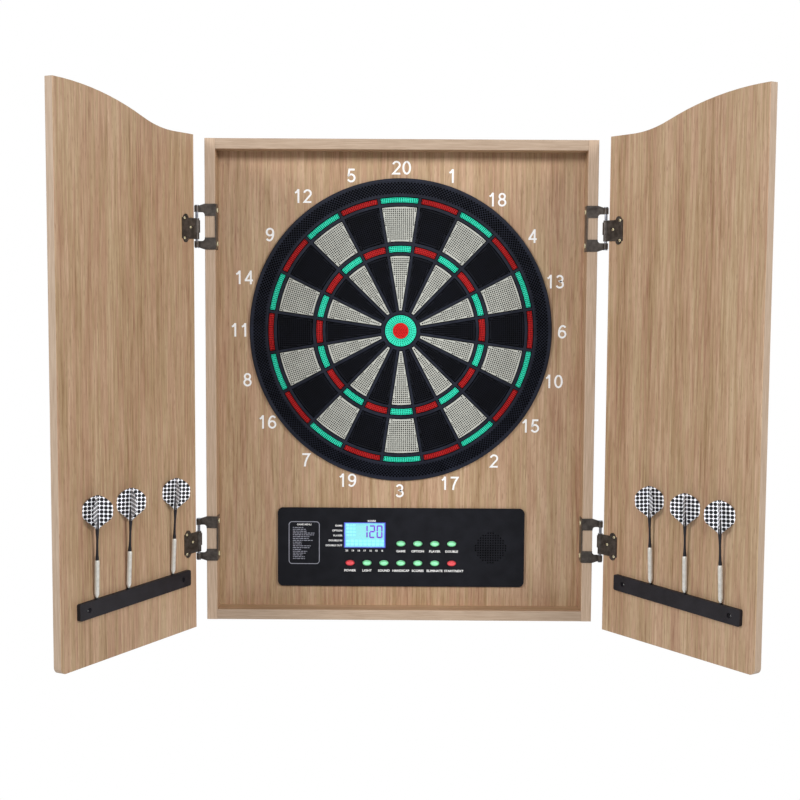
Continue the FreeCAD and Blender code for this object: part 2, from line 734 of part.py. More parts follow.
def half_wing(x, y, outline, angle):
    """One wing of a flight, from the dart's axis outwards, turned to an angle."""
    wing = plate_xz([(x + dx, z) for dx, z in outline], y - FLIGHT_T / 2, y + FLIGHT_T / 2)
    wing.rotate(V(x, y, 0), Z_AXIS, angle)
    return wing


def wings(x, y, outline, angles):
    return union([half_wing(x, y, outline, angle) for angle in angles])


def flight_outline():
    """Half a kite with a roof-shaped top and a tapered bottom."""
    return [(0, FLIGHT_BOTTOM), (FLIGHT_ROOT, FLIGHT_BOTTOM),
            (FLIGHT_HALF_W, FLIGHT_BOTTOM + FLIGHT_HEEL),
            (FLIGHT_HALF_W, FLIGHT_TOP - FLIGHT_SHOULDER), (FLIGHT_ROOT, FLIGHT_TOP),
            (0, FLIGHT_TOP)]


def slot_outline():
    return [(0, FLIGHT_BOTTOM), (FLIGHT_HALF_W, FLIGHT_BOTTOM), (FLIGHT_HALF_W, FLIGHT_TOP),
            (0, FLIGHT_TOP)]


def dart_parts(x, y, angles):
    """Tip with its collar, barrel, shaft and flight of an upright dart with the hole mouth at z = 0."""
    neck = BARREL_BOTTOM + BARREL_NOSE
    point = Part.makeCone(TIP_END_R, TIP_R, TIP_LEN, V(x, y, TIP_GAP - TIP_LEN), Z_AXIS)
    tip = union([point, post(COLLAR_R, x, y, TIP_GAP, BARREL_BOTTOM)])
    nose = Part.makeCone(BARREL_NOSE_R, DART_BARREL_R, BARREL_NOSE, V(x, y, BARREL_BOTTOM), Z_AXIS)
    barrel = union([nose, post(DART_BARREL_R, x, y, neck, BARREL_TOP)])
    third = (FLIGHT_BOTTOM - BARREL_TOP) / 3
    shaft = union([post(SHAFT_R, x, y, BARREL_TOP, BARREL_TOP + third),
                   post(SHAFT_WAIST_R, x, y, BARREL_TOP + third, BARREL_TOP + 2 * third),
                   post(SHAFT_R, x, y, BARREL_TOP + 2 * third, BARREL_TOP + SHAFT_LEN)])
    flight = wings(x, y, flight_outline(), angles)
    return [tip, barrel, shaft.cut(wings(x, y, slot_outline(), angles)), flight]


def stored_dart(side, place):
    x, z = rack_mouth(side, DART_HOLES[side][place])
    angles = FRONT_WINGS[side][place] + REAR_WINGS
    dart = group(dart_parts(x, DOOR_IN_Y + RACK_HOLE_OFF, angles))
    dart.translate(V(0, 0, z))
    return lean(dart, x, z, DART_SWAY_DEG[side][place])


def swing(shape, side):
    """Opens a closed left-hand shape to its rest angle, mirrored for the right-hand side."""
    placed = shape.copy()
    if side == "left":
        placed.rotate(V(-AXIS_X, AXIS_Y, 0), Z_AXIS, -LEFT_OPEN_DEG)
        return placed
    placed = mirror_x(placed)
    placed.rotate(V(AXIS_X, AXIS_Y, 0), Z_AXIS, RIGHT_OPEN_DEG)
    return placed


def door_nodes(side):
    nodes = {"door_panel_" + side: swing(door_panel(side), side)}
    for level, zc in HINGE_Z:
        nodes["hinge_leaf_" + side + "_" + level] = swing(hinge_leaf(zc), side)
    nodes["leaf_screws_" + side] = swing(leaf_screws(), side)
    nodes["dart_rack_" + side] = swing(dart_rack(side), side)
    nodes["rack_screws_" + side] = swing(rack_screws(side), side)
    for place in range(len(DART_HOLES[side])):
        nodes["dart_" + side + "_" + str(place + 1)] = swing(stored_dart(side, place), side)
    return nodes


def hinge_nodes():
    nodes = {}
    for level, zc in HINGE_Z:
        bracket = hinge_bracket(zc)
        nodes["hinge_bracket_left_" + level] = bracket
        nodes["hinge_bracket_right_" + level] = mirror_x(bracket)
    pins = [hinge_pin(zc) for _, zc in HINGE_Z]
    nodes["hinge_pins"] = group(pins + [mirror_x(pin) for pin in pins])
    screws = bracket_screws_left()
    nodes["bracket_screws"] = group(screws + [mirror_x(screw) for screw in screws])
    return nodes


def board_nodes():
    return {
        "catch_ring": catch_ring(),
        "board_tray": board_tray(),
        "tray_screws": tray_screws(),
        "spider": spider(),
        "sensor_membrane": sensor_membrane(),
        "cream_singles": segment_set(SINGLE_BANDS, 0),
        "black_singles": segment_set(SINGLE_BANDS, 1),
        "green_segments": segment_set(BONUS_BANDS, 0),
        "red_segments": segment_set(BONUS_BANDS, 1),
        "outer_bull": outer_bull(),
        "inner_bull": inner_bull(),
    }


def control_nodes():
    nodes = {
        "control_faceplate": control_faceplate(),
        "display_window": display_window(),
        "display_module": display_module(),
        "circuit_board": circuit_board(),
        "circuit_screws": circuit_screws(),
        "keypad_mat": keypad_mat(),
        "speaker": speaker(),
    }
    for name, x, z in button_spots():
        nodes["button_" + name] = button(x, z)
    return nodes


def build():
    side = side_panel_left()
    nodes = {
        "side_panel_left": side,
        "side_panel_right": mirror_x(side),
        "top_panel": cross_panel(INNER_TOP, CAB_TOP),
        "bottom_panel": cross_panel(CAB_BOTTOM, INNER_BOTTOM),
        "back_panel": back_panel(),
        "face_panel": face_panel(),
    }
    nodes.update(board_nodes())
    nodes.update(control_nodes())
    nodes.update(hinge_nodes())
    nodes.update(door_nodes("left"))
    nodes.update(door_nodes("right"))
    return nodes


os.makedirs("parts", exist_ok=True)
for node, shape in build().items():
    shape.exportStep("parts/" + node + ".step")
    print(node, len(shape.Solids), round(shape.Volume, 1), shape.isValid())
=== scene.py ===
import json
import math
import bmesh
import bpy
from mathutils import Matrix, Vector
from mathutils.geometry import delaunay_2d_cdt


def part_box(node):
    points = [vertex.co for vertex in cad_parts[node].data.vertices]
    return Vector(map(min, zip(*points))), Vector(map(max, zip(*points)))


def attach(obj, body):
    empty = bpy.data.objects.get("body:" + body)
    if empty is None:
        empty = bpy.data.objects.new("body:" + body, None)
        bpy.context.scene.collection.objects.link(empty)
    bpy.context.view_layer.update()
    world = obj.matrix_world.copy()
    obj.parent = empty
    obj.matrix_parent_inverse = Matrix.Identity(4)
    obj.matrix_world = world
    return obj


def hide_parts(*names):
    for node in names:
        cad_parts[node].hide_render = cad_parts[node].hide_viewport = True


# Looks of the dart board cabinet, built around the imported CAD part.
# Metres. +Z up, -Y towards the player, origin on the back plane behind the bull.

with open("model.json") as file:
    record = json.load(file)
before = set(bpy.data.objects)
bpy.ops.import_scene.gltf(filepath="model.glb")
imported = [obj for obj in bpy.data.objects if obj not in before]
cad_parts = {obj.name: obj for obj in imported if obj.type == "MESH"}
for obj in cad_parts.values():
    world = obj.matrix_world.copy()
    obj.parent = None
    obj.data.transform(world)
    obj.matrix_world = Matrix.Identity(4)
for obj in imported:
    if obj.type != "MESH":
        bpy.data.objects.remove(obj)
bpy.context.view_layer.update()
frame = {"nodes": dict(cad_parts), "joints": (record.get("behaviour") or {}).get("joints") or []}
nodes = frame["nodes"]
MM = 0.001
TURN = 2 * math.pi


def show(name, data):
    """A new object with this data, linked to the scene."""
    obj = bpy.data.objects.new(name, data)
    bpy.context.scene.collection.objects.link(obj)
    return obj


# ---- camera at the viewing angle ----
CAM_AT = Vector((0.0042, -1.7808, 0.0522))
CAM_PITCH = math.radians(4.701)
CAM_YAW = math.radians(-0.152)
CAM_ROLL = math.radians(0.333)
CAM_LENS = 59.78


def add_camera():
    data = bpy.data.cameras.new("camera")
    data.lens = CAM_LENS
    data.clip_start = 0.05
    obj = show("camera", data)
    ahead = Vector((math.sin(CAM_YAW) * math.cos(CAM_PITCH),
                    math.cos(CAM_YAW) * math.cos(CAM_PITCH), -math.sin(CAM_PITCH)))
    right = Vector((math.cos(CAM_YAW), -math.sin(CAM_YAW), 0))
    up = right.cross(ahead)
    right, up = (math.cos(CAM_ROLL) * right + math.sin(CAM_ROLL) * up,
                 math.cos(CAM_ROLL) * up - math.sin(CAM_ROLL) * right)
    turn = Matrix((right, up, -ahead)).transposed().to_4x4()
    obj.matrix_world = Matrix.Translation(CAM_AT) @ turn
    bpy.context.scene.camera = obj


# ---- materials ----

def srgb(r, g, b):
    """Linear colour for an 8-bit display colour."""
    def lin(c):
        c /= 255
        return c / 12.92 if c <= 0.04045 else ((c + 0.055) / 1.055) ** 2.4
    return (lin(r), lin(g), lin(b), 1.0)


class Graph:
    """A material and short ways to add nodes to it."""

    def __init__(self, name, rough=0.5, metal=0.0, specular=0.5):
        self.mat = bpy.data.materials.new(name)
        self.mat.use_nodes = True
        self.tree = self.mat.node_tree
        self.shader = self.tree.nodes["Principled BSDF"]
        self.set(("Roughness", rough), ("Metallic", metal), ("Specular IOR Level", specular))
        self.coord = self.tree.nodes.new("ShaderNodeTexCoord")

    def link(self, a, b):
        self.tree.links.new(a, b)

    def put(self, socket, value):
        if hasattr(value, "is_linked"):
            self.link(value, socket)
        else:
            socket.default_value = value

    def set(self, *pairs):
        """Values or node outputs for the shader's named inputs."""
        for name, value in pairs:
            self.put(self.shader.inputs[name], value)

    def math(self, kind, a, b=0.0):
        node = self.tree.nodes.new("ShaderNodeMath")
        node.operation = kind
        self.put(node.inputs[0], a)
        self.put(node.inputs[1], b)
        return node.outputs[0]

    def weigh(self, *parts):
        """The sum of some outputs, each times its share."""
        out = self.math("MULTIPLY", *parts[0])
        for part in parts[1:]:
            out = self.math("ADD", out, self.math("MULTIPLY", *part))
        return out

    def place(self, scale=(1, 1, 1)):
        """The piece's own coordinates, squeezed."""
        node = self.tree.nodes.new("ShaderNodeMapping")
        node.inputs["Scale"].default_value = scale
        self.link(self.coord.outputs["Object"], node.inputs["Vector"])
        return node.outputs[0]

    def noise(self, where, scale, detail=3.0, rough=0.5):
        node = self.tree.nodes.new("ShaderNodeTexNoise")
        for name, value in (("Scale", scale), ("Detail", detail), ("Roughness", rough), ("Vector", where)):
            self.put(node.inputs[name], value)
        return node.outputs["Fac"]

    def ramp(self, factor, stops):
        node = self.tree.nodes.new("ShaderNodeValToRGB")
        items = node.color_ramp.elements
        while len(items) < len(stops):
            items.new(0.5)
        for item, (at, color) in zip(items, stops):
            item.position = at
            item.color = color if isinstance(color, tuple) else (color, color, color, 1)
        self.link(factor, node.inputs["Fac"])
        return node.outputs["Color"]

    def mix(self, factor, a, b):
        node = self.tree.nodes.new("ShaderNodeMix")
        node.data_type = "RGBA"
        self.put(node.inputs["Factor"], factor)
        self.put(node.inputs[6], a)
        self.put(node.inputs[7], b)
        return node.outputs[2]

    def split(self, vector):
        node = self.tree.nodes.new("ShaderNodeSeparateXYZ")
        self.link(vector, node.inputs[0])
        return node.outputs

    def bump(self, height, depth, strength=1.0):
        node = self.tree.nodes.new("ShaderNodeBump")
        node.inputs["Strength"].default_value = strength
        node.inputs["Distance"].default_value = depth
        self.link(height, node.inputs["Height"])
        self.link(node.outputs["Normal"], self.shader.inputs["Normal"])

    def color(self, value):
        self.set(("Base Color", value))

    def rough(self, value):
        self.set(("Roughness", value))

    def glow(self, value, strength):
        self.set(("Emission Color", value), ("Emission Strength", strength))


def wood(name, along, edge=None, band_tint=1.0):
    """Wood-print laminate, its grain along one axis. Faces turned across `edge` carry the pale edge band."""
    g = Graph(name, specular=0.35)
    squeeze = {"x": (0.035, 1, 1), "z": (1, 1, 0.035)}[along]
    where = g.place(squeeze)
    broad = g.noise(where, 30, 2.0)
    streak = g.noise(where, 330, 3.0, 0.65)
    fine = g.noise(where, 760, 2.0, 0.7)
    pores = g.noise(g.place(tuple(c if c == 1 else 0.09 for c in squeeze)), 900, 1.0)
    total = g.weigh((broad, 0.28), (streak, 0.50), (fine, 0.22))
    shade = g.ramp(total, [(0.38, srgb(138, 103, 75)), (0.46, srgb(167, 135, 105)),
                           (0.54, srgb(184, 155, 125)), (0.64, srgb(204, 177, 148))])
    hue = g.ramp(g.noise(where, 210, 2.0), [(0.42, srgb(192, 148, 128)), (0.58, srgb(168, 150, 108))])
    shade = g.mix(0.22, shade, hue)
    dark = g.ramp(pores, [(0.60, 0.0), (0.70, 1.0)])
    shade = g.mix(g.math("MULTIPLY", dark, 0.35), shade, srgb(120, 86, 60))
    if edge is not None:
        facing = g.tree.nodes.new("ShaderNodeVectorMath")
        facing.operation = "DOT_PRODUCT"
        g.link(g.coord.outputs["Normal"], facing.inputs[0])
        facing.inputs[1].default_value = edge[0]
        amount = g.math("ABSOLUTE", facing.outputs["Value"])
        kind = "GREATER_THAN" if edge[1] else "LESS_THAN"
        mask = g.math(kind, amount, 0.6)
        tones = [srgb(*(c * band_tint for c in tone)) for tone in ((184, 159, 136), (204, 180, 157))]
        band = g.ramp(fine, [(0.35, tones[0]), (0.65, tones[1])])
        shade = g.mix(mask, shade, band)
    g.color(shade)
    g.rough(g.ramp(streak, [(0.3, 0.42), (0.7, 0.55)]))
    g.bump(fine, 0.00012, 0.5)
    return g.mat


def hardboard(name):
    g = Graph(name, rough=0.7, specular=0.3)
    fibres = g.noise(g.place(), 900, 4.0, 0.7)
    cloud = g.noise(g.place(), 18, 3.0)
    mixed = g.weigh((fibres, 0.6), (cloud, 0.4))
    g.color(g.ramp(mixed, [(0.38, srgb(96, 66, 44)), (0.62, srgb(142, 104, 72))]))
    g.bump(fibres, 0.0002, 0.6)
    return g.mat


def plastic(name, low, high, rough=0.45, grain=1500.0, depth=0.00006, specular=0.45):
    """Moulded plastic: two close 8-bit shades, a fine surface grain and uneven gloss."""
    g = Graph(name, specular=specular)
    cloud = g.noise(g.place(), 60, 3.0)
    grit = g.noise(g.place(), grain, 2.0, 0.6)
    mixed = g.weigh((cloud, 0.6), (grit, 0.4))
    g.color(g.ramp(mixed, [(0.36, srgb(*low)), (0.64, srgb(*high))]))
    g.rough(g.ramp(cloud, [(0.3, rough - 0.06), (0.7, rough + 0.06)]))
    g.bump(grit, depth, 0.6)
    return g.mat


def metal(name, low, high, rough=0.38, metallic=0.9):
    g = Graph(name, metal=metallic)
    cloud = g.noise(g.place(), 130, 5.0, 0.65)
    grit = g.noise(g.place(), 2400, 2.0, 0.6)
    g.color(g.ramp(cloud, [(0.35, srgb(*low)), (0.65, srgb(*high))]))
    g.rough(g.ramp(grit, [(0.3, rough - 0.08), (0.7, rough + 0.1)]))
    g.bump(grit, 0.00004, 0.5)
    return g.mat


def clear_plastic(name):
    g = Graph(name, rough=0.03)
    g.set(("Transmission Weight", 1.0), ("IOR", 1.45))
    film = g.noise(g.place(), 40, 2.0)
    g.color(g.ramp(film, [(0.3, (0.97, 0.99, 1.0, 1)), (0.7, (1.0, 1.0, 1.0, 1))]))
    return g.mat


def lit_screen(name, low, high):
    """Backlit liquid crystal: cyan in the middle, blue round the rim."""
    g = Graph(name, rough=0.3)
    x, _, z = g.split(g.place())
    mid = (low + high) / 2
    half = (high - low) / 2
    u = g.math("ABSOLUTE", g.math("DIVIDE", g.math("SUBTRACT", x, mid.x), half.x))
    v = g.math("ABSOLUTE", g.math("DIVIDE", g.math("SUBTRACT", z, mid.z), half.z))
    rim = g.math("MAXIMUM", u, g.math("SUBTRACT", v, 0.01))
    cloud = g.noise(g.place(), 120, 2.0)
    rim = g.math("ADD", rim, g.math("MULTIPLY", g.math("SUBTRACT", cloud, 0.5), 0.04))
    glow = g.ramp(rim, [(0.70, srgb(160, 250, 254)), (0.92, srgb(146, 236, 255)),
                        (0.965, srgb(96, 110, 250)), (1.0, srgb(66, 50, 210))])
    g.color((0.01, 0.02, 0.03, 1))
    g.glow(glow, 0.95)
    return g.mat


def glowing(name, low, high, strength):
    g = Graph(name, rough=0.4)
    cloud = g.noise(g.place(), 300, 2.0)
    tone = g.ramp(cloud, [(0.35, srgb(*low)), (0.65, srgb(*high))])
    g.color(tone)
    g.glow(tone, strength)
    return g.mat


def flight_film(name):
    """White film printed with rows of black dots, with a faint glow of its own colour added as painted
    light. Works in the dart's own axes.
    """
    pitch = 0.00485
    g = Graph(name, rough=0.35)
    x, y, z = g.split(g.place())
    join = g.tree.nodes.new("ShaderNodeCombineXYZ")
    away = g.math("SQRT", g.math("ADD", g.math("MULTIPLY", x, x), g.math("MULTIPLY", y, y)))
    g.link(away, join.inputs[0])
    g.link(z, join.inputs[1])
    cells = g.tree.nodes.new("ShaderNodeTexVoronoi")
    cells.voronoi_dimensions = "2D"
    cells.inputs["Scale"].default_value = 1 / pitch
    cells.inputs["Randomness"].default_value = 0.0
    g.link(join.outputs[0], cells.inputs["Vector"])
    ink = g.ramp(cells.outputs["Distance"], [(0.43, 1.0), (0.47, 0.0)])
    white = g.ramp(g.noise(g.place(), 200, 2.0), [(0.3, srgb(240, 242, 250)), (0.7, srgb(252, 252, 255))])
    print_color = g.mix(ink, white, srgb(6, 6, 14))
    g.color(print_color)
    # Painted light: the film glows faintly with its own print colour so it looks brighter.
    g.glow(print_color, 0.26)
    g.bump(g.noise(g.place(), 700, 2.0), 0.00004, 0.4)
    return g.mat


def floor_material(name):
    g = Graph(name, rough=0.8, specular=0.2)
    g.color(g.ramp(g.noise(g.place(), 3, 3.0), [(0.3, (0.80, 0.80, 0.80, 1)), (0.7, (0.84, 0.84, 0.84, 1))]))
    return g.mat


def dress(names, material):
    for name in names:
        data = nodes[name].data
        data.materials.clear()
        data.materials.append(material)


# ---- mesh building ----

class Soup:
    """Vertices, faces and a material number for each face."""

    def __init__(self):
        self.verts = []
        self.faces = []
        self.kinds = []

    def add(self, verts, faces, kind=0):
        base = len(self.verts)
        self.verts += [tuple(v) for v in verts]
        self.faces += [tuple(base + i for i in face) for face in faces]
        self.kinds += [kind] * len(faces)

    def tile(self, kind, *faces):
        """Adds faces between points that are there already."""
        self.faces += faces
        self.kinds += [kind] * len(faces)

    def copy_of(self, other, change):
        base = len(self.verts)
        self.verts += [change(v) for v in other.verts]
        self.faces += [tuple(base + i for i in face) for face in other.faces]
        self.kinds += other.kinds

    def piece(self, name, materials, smooth=None, weld=0.0):
        data = bpy.data.meshes.new(name)
        data.from_pydata(self.verts, [], self.faces)
        for material in materials:
            data.materials.append(material)
        data.polygons.foreach_set("material_index", self.kinds)
        data.validate()
        obj = show(name, data)
        if weld:
            tidy_mesh(data, weld)
        if smooth is not None:
            data.shade_smooth()
            data.set_sharp_from_angle(angle=math.radians(smooth))
        return obj


def tidy_mesh(data, reach):
    bm = bmesh.new()
    bm.from_mesh(data)
    bmesh.ops.remove_doubles(bm, verts=bm.verts, dist=reach)
    bmesh.ops.recalc_face_normals(bm, faces=bm.faces)
    bm.to_mesh(data)
    bm.free()


def finish_piece(obj, body, slot, *replaced):
    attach(obj, body)
    if replaced:
        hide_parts(*replaced)
    return obj


def wedge_turn(k):
    """Turns a point at twelve o'clock to wedge k, clockwise seen from the front."""
    c = math.cos(TURN * k / WEDGES + BOARD_TWIST)
    s = math.sin(TURN * k / WEDGES + BOARD_TWIST)
    return lambda v: (v[0] * c + v[2] * s, v[1], v[2] * c - v[0] * s)


# ---- dart board ----
WEDGES = 20
BOARD_TWIST = math.radians(-0.85)
WALL_T = 3.0 * MM
CLEAR = 1.1 * MM
RING_RADII = [(21.5 * MM, 25.6 * MM), (98.35 * MM, 101.6 * MM), (111.25 * MM, 115.1 * MM),
              (161.8 * MM, 165.4 * MM)]
RING_IN_R = 173.7 * MM
CHAMFER = 0.2 * MM
HOLE_DEPTH = 2.0 * MM
HOLE_SIDES = 8
HOLE_PITCH = 2.55 * MM
HOLE_R = 0.94 * MM
HOLE_RIM = 0.26 * MM
FAN_HOLE_R = 0.74 * MM
BULL_PITCH = 2.0 * MM
BULL_HOLE_R = 0.62 * MM
OUTER_BULL_START = 12.0 * MM
OUTER_BULL_PITCH = 2.25 * MM
OUTER_BULL_HOLE_R = 0.68 * MM
OUTER_BULL_BORE_R = 10.6 * MM


def wedge_outline(inner, outer, inset):
    """Outline of a segment at twelve o'clock, anticlockwise seen from the front."""
    side = WALL_T / 2 + CLEAR + inset
    half = math.radians(180 / WEDGES)
    steps = 10
    points = []
    for radius, sign in ((outer - inset, 1), (inner + inset, -1)):
        reach = half - math.asin(side / radius)
        for i in range(steps + 1):
            angle = sign * reach * (1 - 2 * i / steps)
            points.append((radius * math.sin(angle), radius * math.cos(angle)))
    return points


def perforate(outline, rim, holes, radius, levels, bore=None):
    """A plate with a bevelled rim and blind round holes. levels: front, rim, back, hole bottom.
    bore is a second outline, with as many points as the rim, that goes right through."""
    front, shoulder, back, bottom = levels
    soup = Soup()
    count = len(outline)
    flat = [Vector(p) for p in outline]
    ties = [(i, (i + 1) % count) for i in range(count)]
    for cx, cz in holes:
        base = len(flat)
        for i in range(HOLE_SIDES):
            a = TURN * (i + 0.5) / HOLE_SIDES
            flat.append(Vector((cx + radius * math.cos(a), cz + radius * math.sin(a))))
        ties += [(base + i, base + (i + 1) % HOLE_SIDES) for i in range(HOLE_SIDES)]
    bore_at = len(flat)
    if bore:
        flat += [Vector(p) for p in bore]
        ties += [(bore_at + i, bore_at + (i + 1) % count) for i in range(count)]
    out = delaunay_2d_cdt(flat, ties, [], 1, 1e-8)
    points, faces, source = out[0], out[2], out[3]
    where = {}
    for i, names in enumerate(source):
        for n in names:
            where[n] = i
    grid = {}
    cell = radius * 1.9
    for cx, cz in holes:
        grid.setdefault((round(cx / cell), round(cz / cell)), []).append((cx, cz))

    def in_hole(x, z):
        gx, gz = round(x / cell), round(z / cell)
        for dx in (-1, 0, 1):
            for dz in (-1, 0, 1):
                for cx, cz in grid.get((gx + dx, gz + dz), []):
                    if math.hypot(x - cx, z - cz) < radius * 0.9:
                        return True
        return False

    kept = []
    for face in faces:
        x = sum(points[i][0] for i in face) / 3
        z = sum(points[i][1] for i in face) / 3
        if in_hole(x, z) or (bore and math.hypot(x, z) < math.hypot(*bore[0]) * 0.998):
            continue
        kept.append(tuple(face))
    soup.add([(p[0], front, p[1]) for p in points], kept)
    start = len(soup.verts)
    soup.add([(x, shoulder, z) for x, z in rim], [])
    soup.add([(x, back, z) for x, z in rim], [])
    for i in range(count):
        j = (i + 1) % count
        top_i, top_j = where[i], where[j]
        mid_i, mid_j = start + i, start + j
        low_i, low_j = start + count + i, start + count + j
        soup.tile(0, (top_i, mid_i, mid_j, top_j), (mid_i, low_i, low_j, mid_j))
    if bore:
        low = len(soup.verts)
        soup.verts += [(x, back, z) for x, z in bore]
        for i in range(count):
            j = (i + 1) % count
            top_i, top_j = where[bore_at + i], where[bore_at + j]
            soup.tile(0, (top_j, low + j, low + i, top_i),
                      (start + count + i, low + i, low + j, start + count + j))
    else:
        soup.tile(0, tuple(start + count + i for i in reversed(range(count))))
    # Hole walls and bottoms take the second material, near-black: painted shade on the walls, and the dark
    # backing behind the board at the bottoms.
    for h in range(len(holes)):
        first = count + h * HOLE_SIDES
        base = len(soup.verts)
        ring = [where[first + i] for i in range(HOLE_SIDES)]
        for i in ring:
            soup.verts.append((points[i][0], bottom, points[i][1]))
        for i in range(HOLE_SIDES):
            j = (i + 1) % HOLE_SIDES
            soup.tile(1, (ring[j], base + j, base + i, ring[i]))
        soup.tile(1, tuple(base + i for i in range(HOLE_SIDES)))
    return soup


def inside_wedge(x, z, inner, outer, margin):
    radius = math.hypot(x, z)
    if not inner + margin <= radius <= outer - margin:
        return False
    half = math.radians(180 / WEDGES)
    gap = radius * math.sin(half - abs(math.atan2(x, z)))
    return gap >= WALL_T / 2 + CLEAR + margin


def square_holes(inner, outer, pitch, margin):
    """A square grid of holes lined up with the middle of the segment."""
    rows = int((outer - inner) / pitch) + 1
    mid = (inner + outer) / 2
    spots = []
    for j in range(-rows, rows + 1):
        for i in range(-rows, rows + 1):
            x, z = i * pitch, mid + (j + 0.5) * pitch
            if inside_wedge(x, z, inner, outer, margin):
                spots.append((x, z))
    return spots


def fan_holes(inner, outer, rows, columns):
    """Rows of holes on arcs, as on the narrow double and treble segments."""
    half = math.radians(180 / WEDGES)
    spots = []
    for j in range(rows):
        radius = inner + (outer - inner) * (j + 0.5) / rows
        reach = half - math.asin((WALL_T / 2 + CLEAR) / radius)
        for i in range(columns):
            angle = reach * (2 * (i + 0.5) / columns - 1)
            spots.append((radius * math.sin(angle), radius * math.cos(angle)))
    return spots


def segment_levels():
    lo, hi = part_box("cream_singles")
    return lo.y, lo.y + CHAMFER, hi.y, lo.y + HOLE_DEPTH


def segment_kind(inner, outer, holes, radius):
    inner += CLEAR
    outer -= CLEAR
    return perforate(wedge_outline(inner, outer, CHAMFER), wedge_outline(inner, outer, 0),
                     holes, radius, segment_levels())


def segments(name, kinds, first, materials, slot):
    soup = Soup()
    for kind in kinds:
        for k in range(first, WEDGES, 2):
            soup.copy_of(kind, wedge_turn(k))
    finish_piece(soup.piece(name + "_perforated", materials), "cabinet", slot, name)


def all_segments(looks):
    singles = []
    for inner, outer in ((RING_RADII[0][1], RING_RADII[1][0]), (RING_RADII[2][1], RING_RADII[3][0])):
        spots = square_holes(inner + CLEAR, outer - CLEAR, HOLE_PITCH, HOLE_R + HOLE_RIM)
        singles.append(segment_kind(inner, outer, spots, HOLE_R))
    bonus = []
    for (inner, outer), columns in (((RING_RADII[1][1], RING_RADII[2][0]), 12),
                                    ((RING_RADII[3][1], RING_IN_R), 20)):
        spots = fan_holes(inner + CLEAR + CHAMFER, outer - CLEAR - CHAMFER, 3, columns)
        bonus.append(segment_kind(inner, outer, spots, FAN_HOLE_R))
    pit = looks["pit"]
    segments("cream_singles", singles, 0, [looks["cream"], pit], "cream_plastic")
    segments("black_singles", singles, 1, [looks["black_segment"], pit], "black_plastic")
    segments("green_segments", bonus, 0, [looks["green"], pit], "green_plastic")
    segments("red_segments", bonus, 1, [looks["red"], pit], "red_plastic")


def circle(radius, count, phase=0.0):
    return [(radius * math.cos(TURN * (i + phase) / count), radius * math.sin(TURN * (i + phase) / count))
            for i in range(count)]


def bulls(looks):
    lo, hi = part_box("inner_bull")
    radius = (hi.x - lo.x) / 2
    spots = [(0.0, 0.0)]
    for ring in range(1, 5):
        spots += circle(ring * BULL_PITCH, 6 * ring)
    soup = perforate(circle(radius - CHAMFER, 64), circle(radius, 64), spots, BULL_HOLE_R,
                     (lo.y, lo.y + CHAMFER, hi.y, lo.y + HOLE_DEPTH))
    finish_piece(soup.piece("inner_bull_perforated", [looks["bull_red"], looks["pit"]]),
                 "inner_bull_key", "red_plastic", "inner_bull")
    lo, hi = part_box("outer_bull")
    radius = (hi.x - lo.x) / 2
    spots = []
    for row in range(4):
        spots += circle(OUTER_BULL_START + row * OUTER_BULL_PITCH, 36)
    soup = perforate(circle(radius - CHAMFER, 72), circle(radius, 72), spots, OUTER_BULL_HOLE_R,
                     (lo.y, lo.y + CHAMFER, hi.y, lo.y + HOLE_DEPTH), circle(OUTER_BULL_BORE_R, 72))
    finish_piece(soup.piece("outer_bull_perforated", [looks["bull_green"], looks["pit"]]),
                 "outer_bull_key", "green_plastic", "outer_bull")


def revolve(profile, count, soup, left_out):
    """Turns a profile of (radius, y) about the board's axis, without the step that starts at left_out."""
    base = len(soup.verts)
    for radius, y in profile:
        for i in range(count):
            a = TURN * i / count
            soup.verts.append((radius * math.sin(a), y, radius * math.cos(a)))
    size = len(profile)
    for p in range(size):
        if p == left_out:
            continue
        low, high = base + p * count, base + (p + 1) % size * count
        for i in range(count):
            j = (i + 1) % count
            soup.tile(0, (low + i, high + i, high + j, low + j))


DISH_IN_R = 176.7 * MM
DISH_OUT_R = 193.5 * MM
DISH_DEPTH = 0.8 * MM
LATTICE_DEPTH = 2.4 * MM
LATTICE_COUNT = 280
LATTICE_ROWS = 8
POCKET_SHARE = 0.80
POCKET_FLOOR_SHARE = 0.76
SLEEVE_R = 192.6 * MM
SLEEVE_IN_R = 188.6 * MM
RING_T = 7 * MM
RING_ROUND = 1.2 * MM
RING_CORNER = 0.35 * MM
BEAD = 0.5 * MM


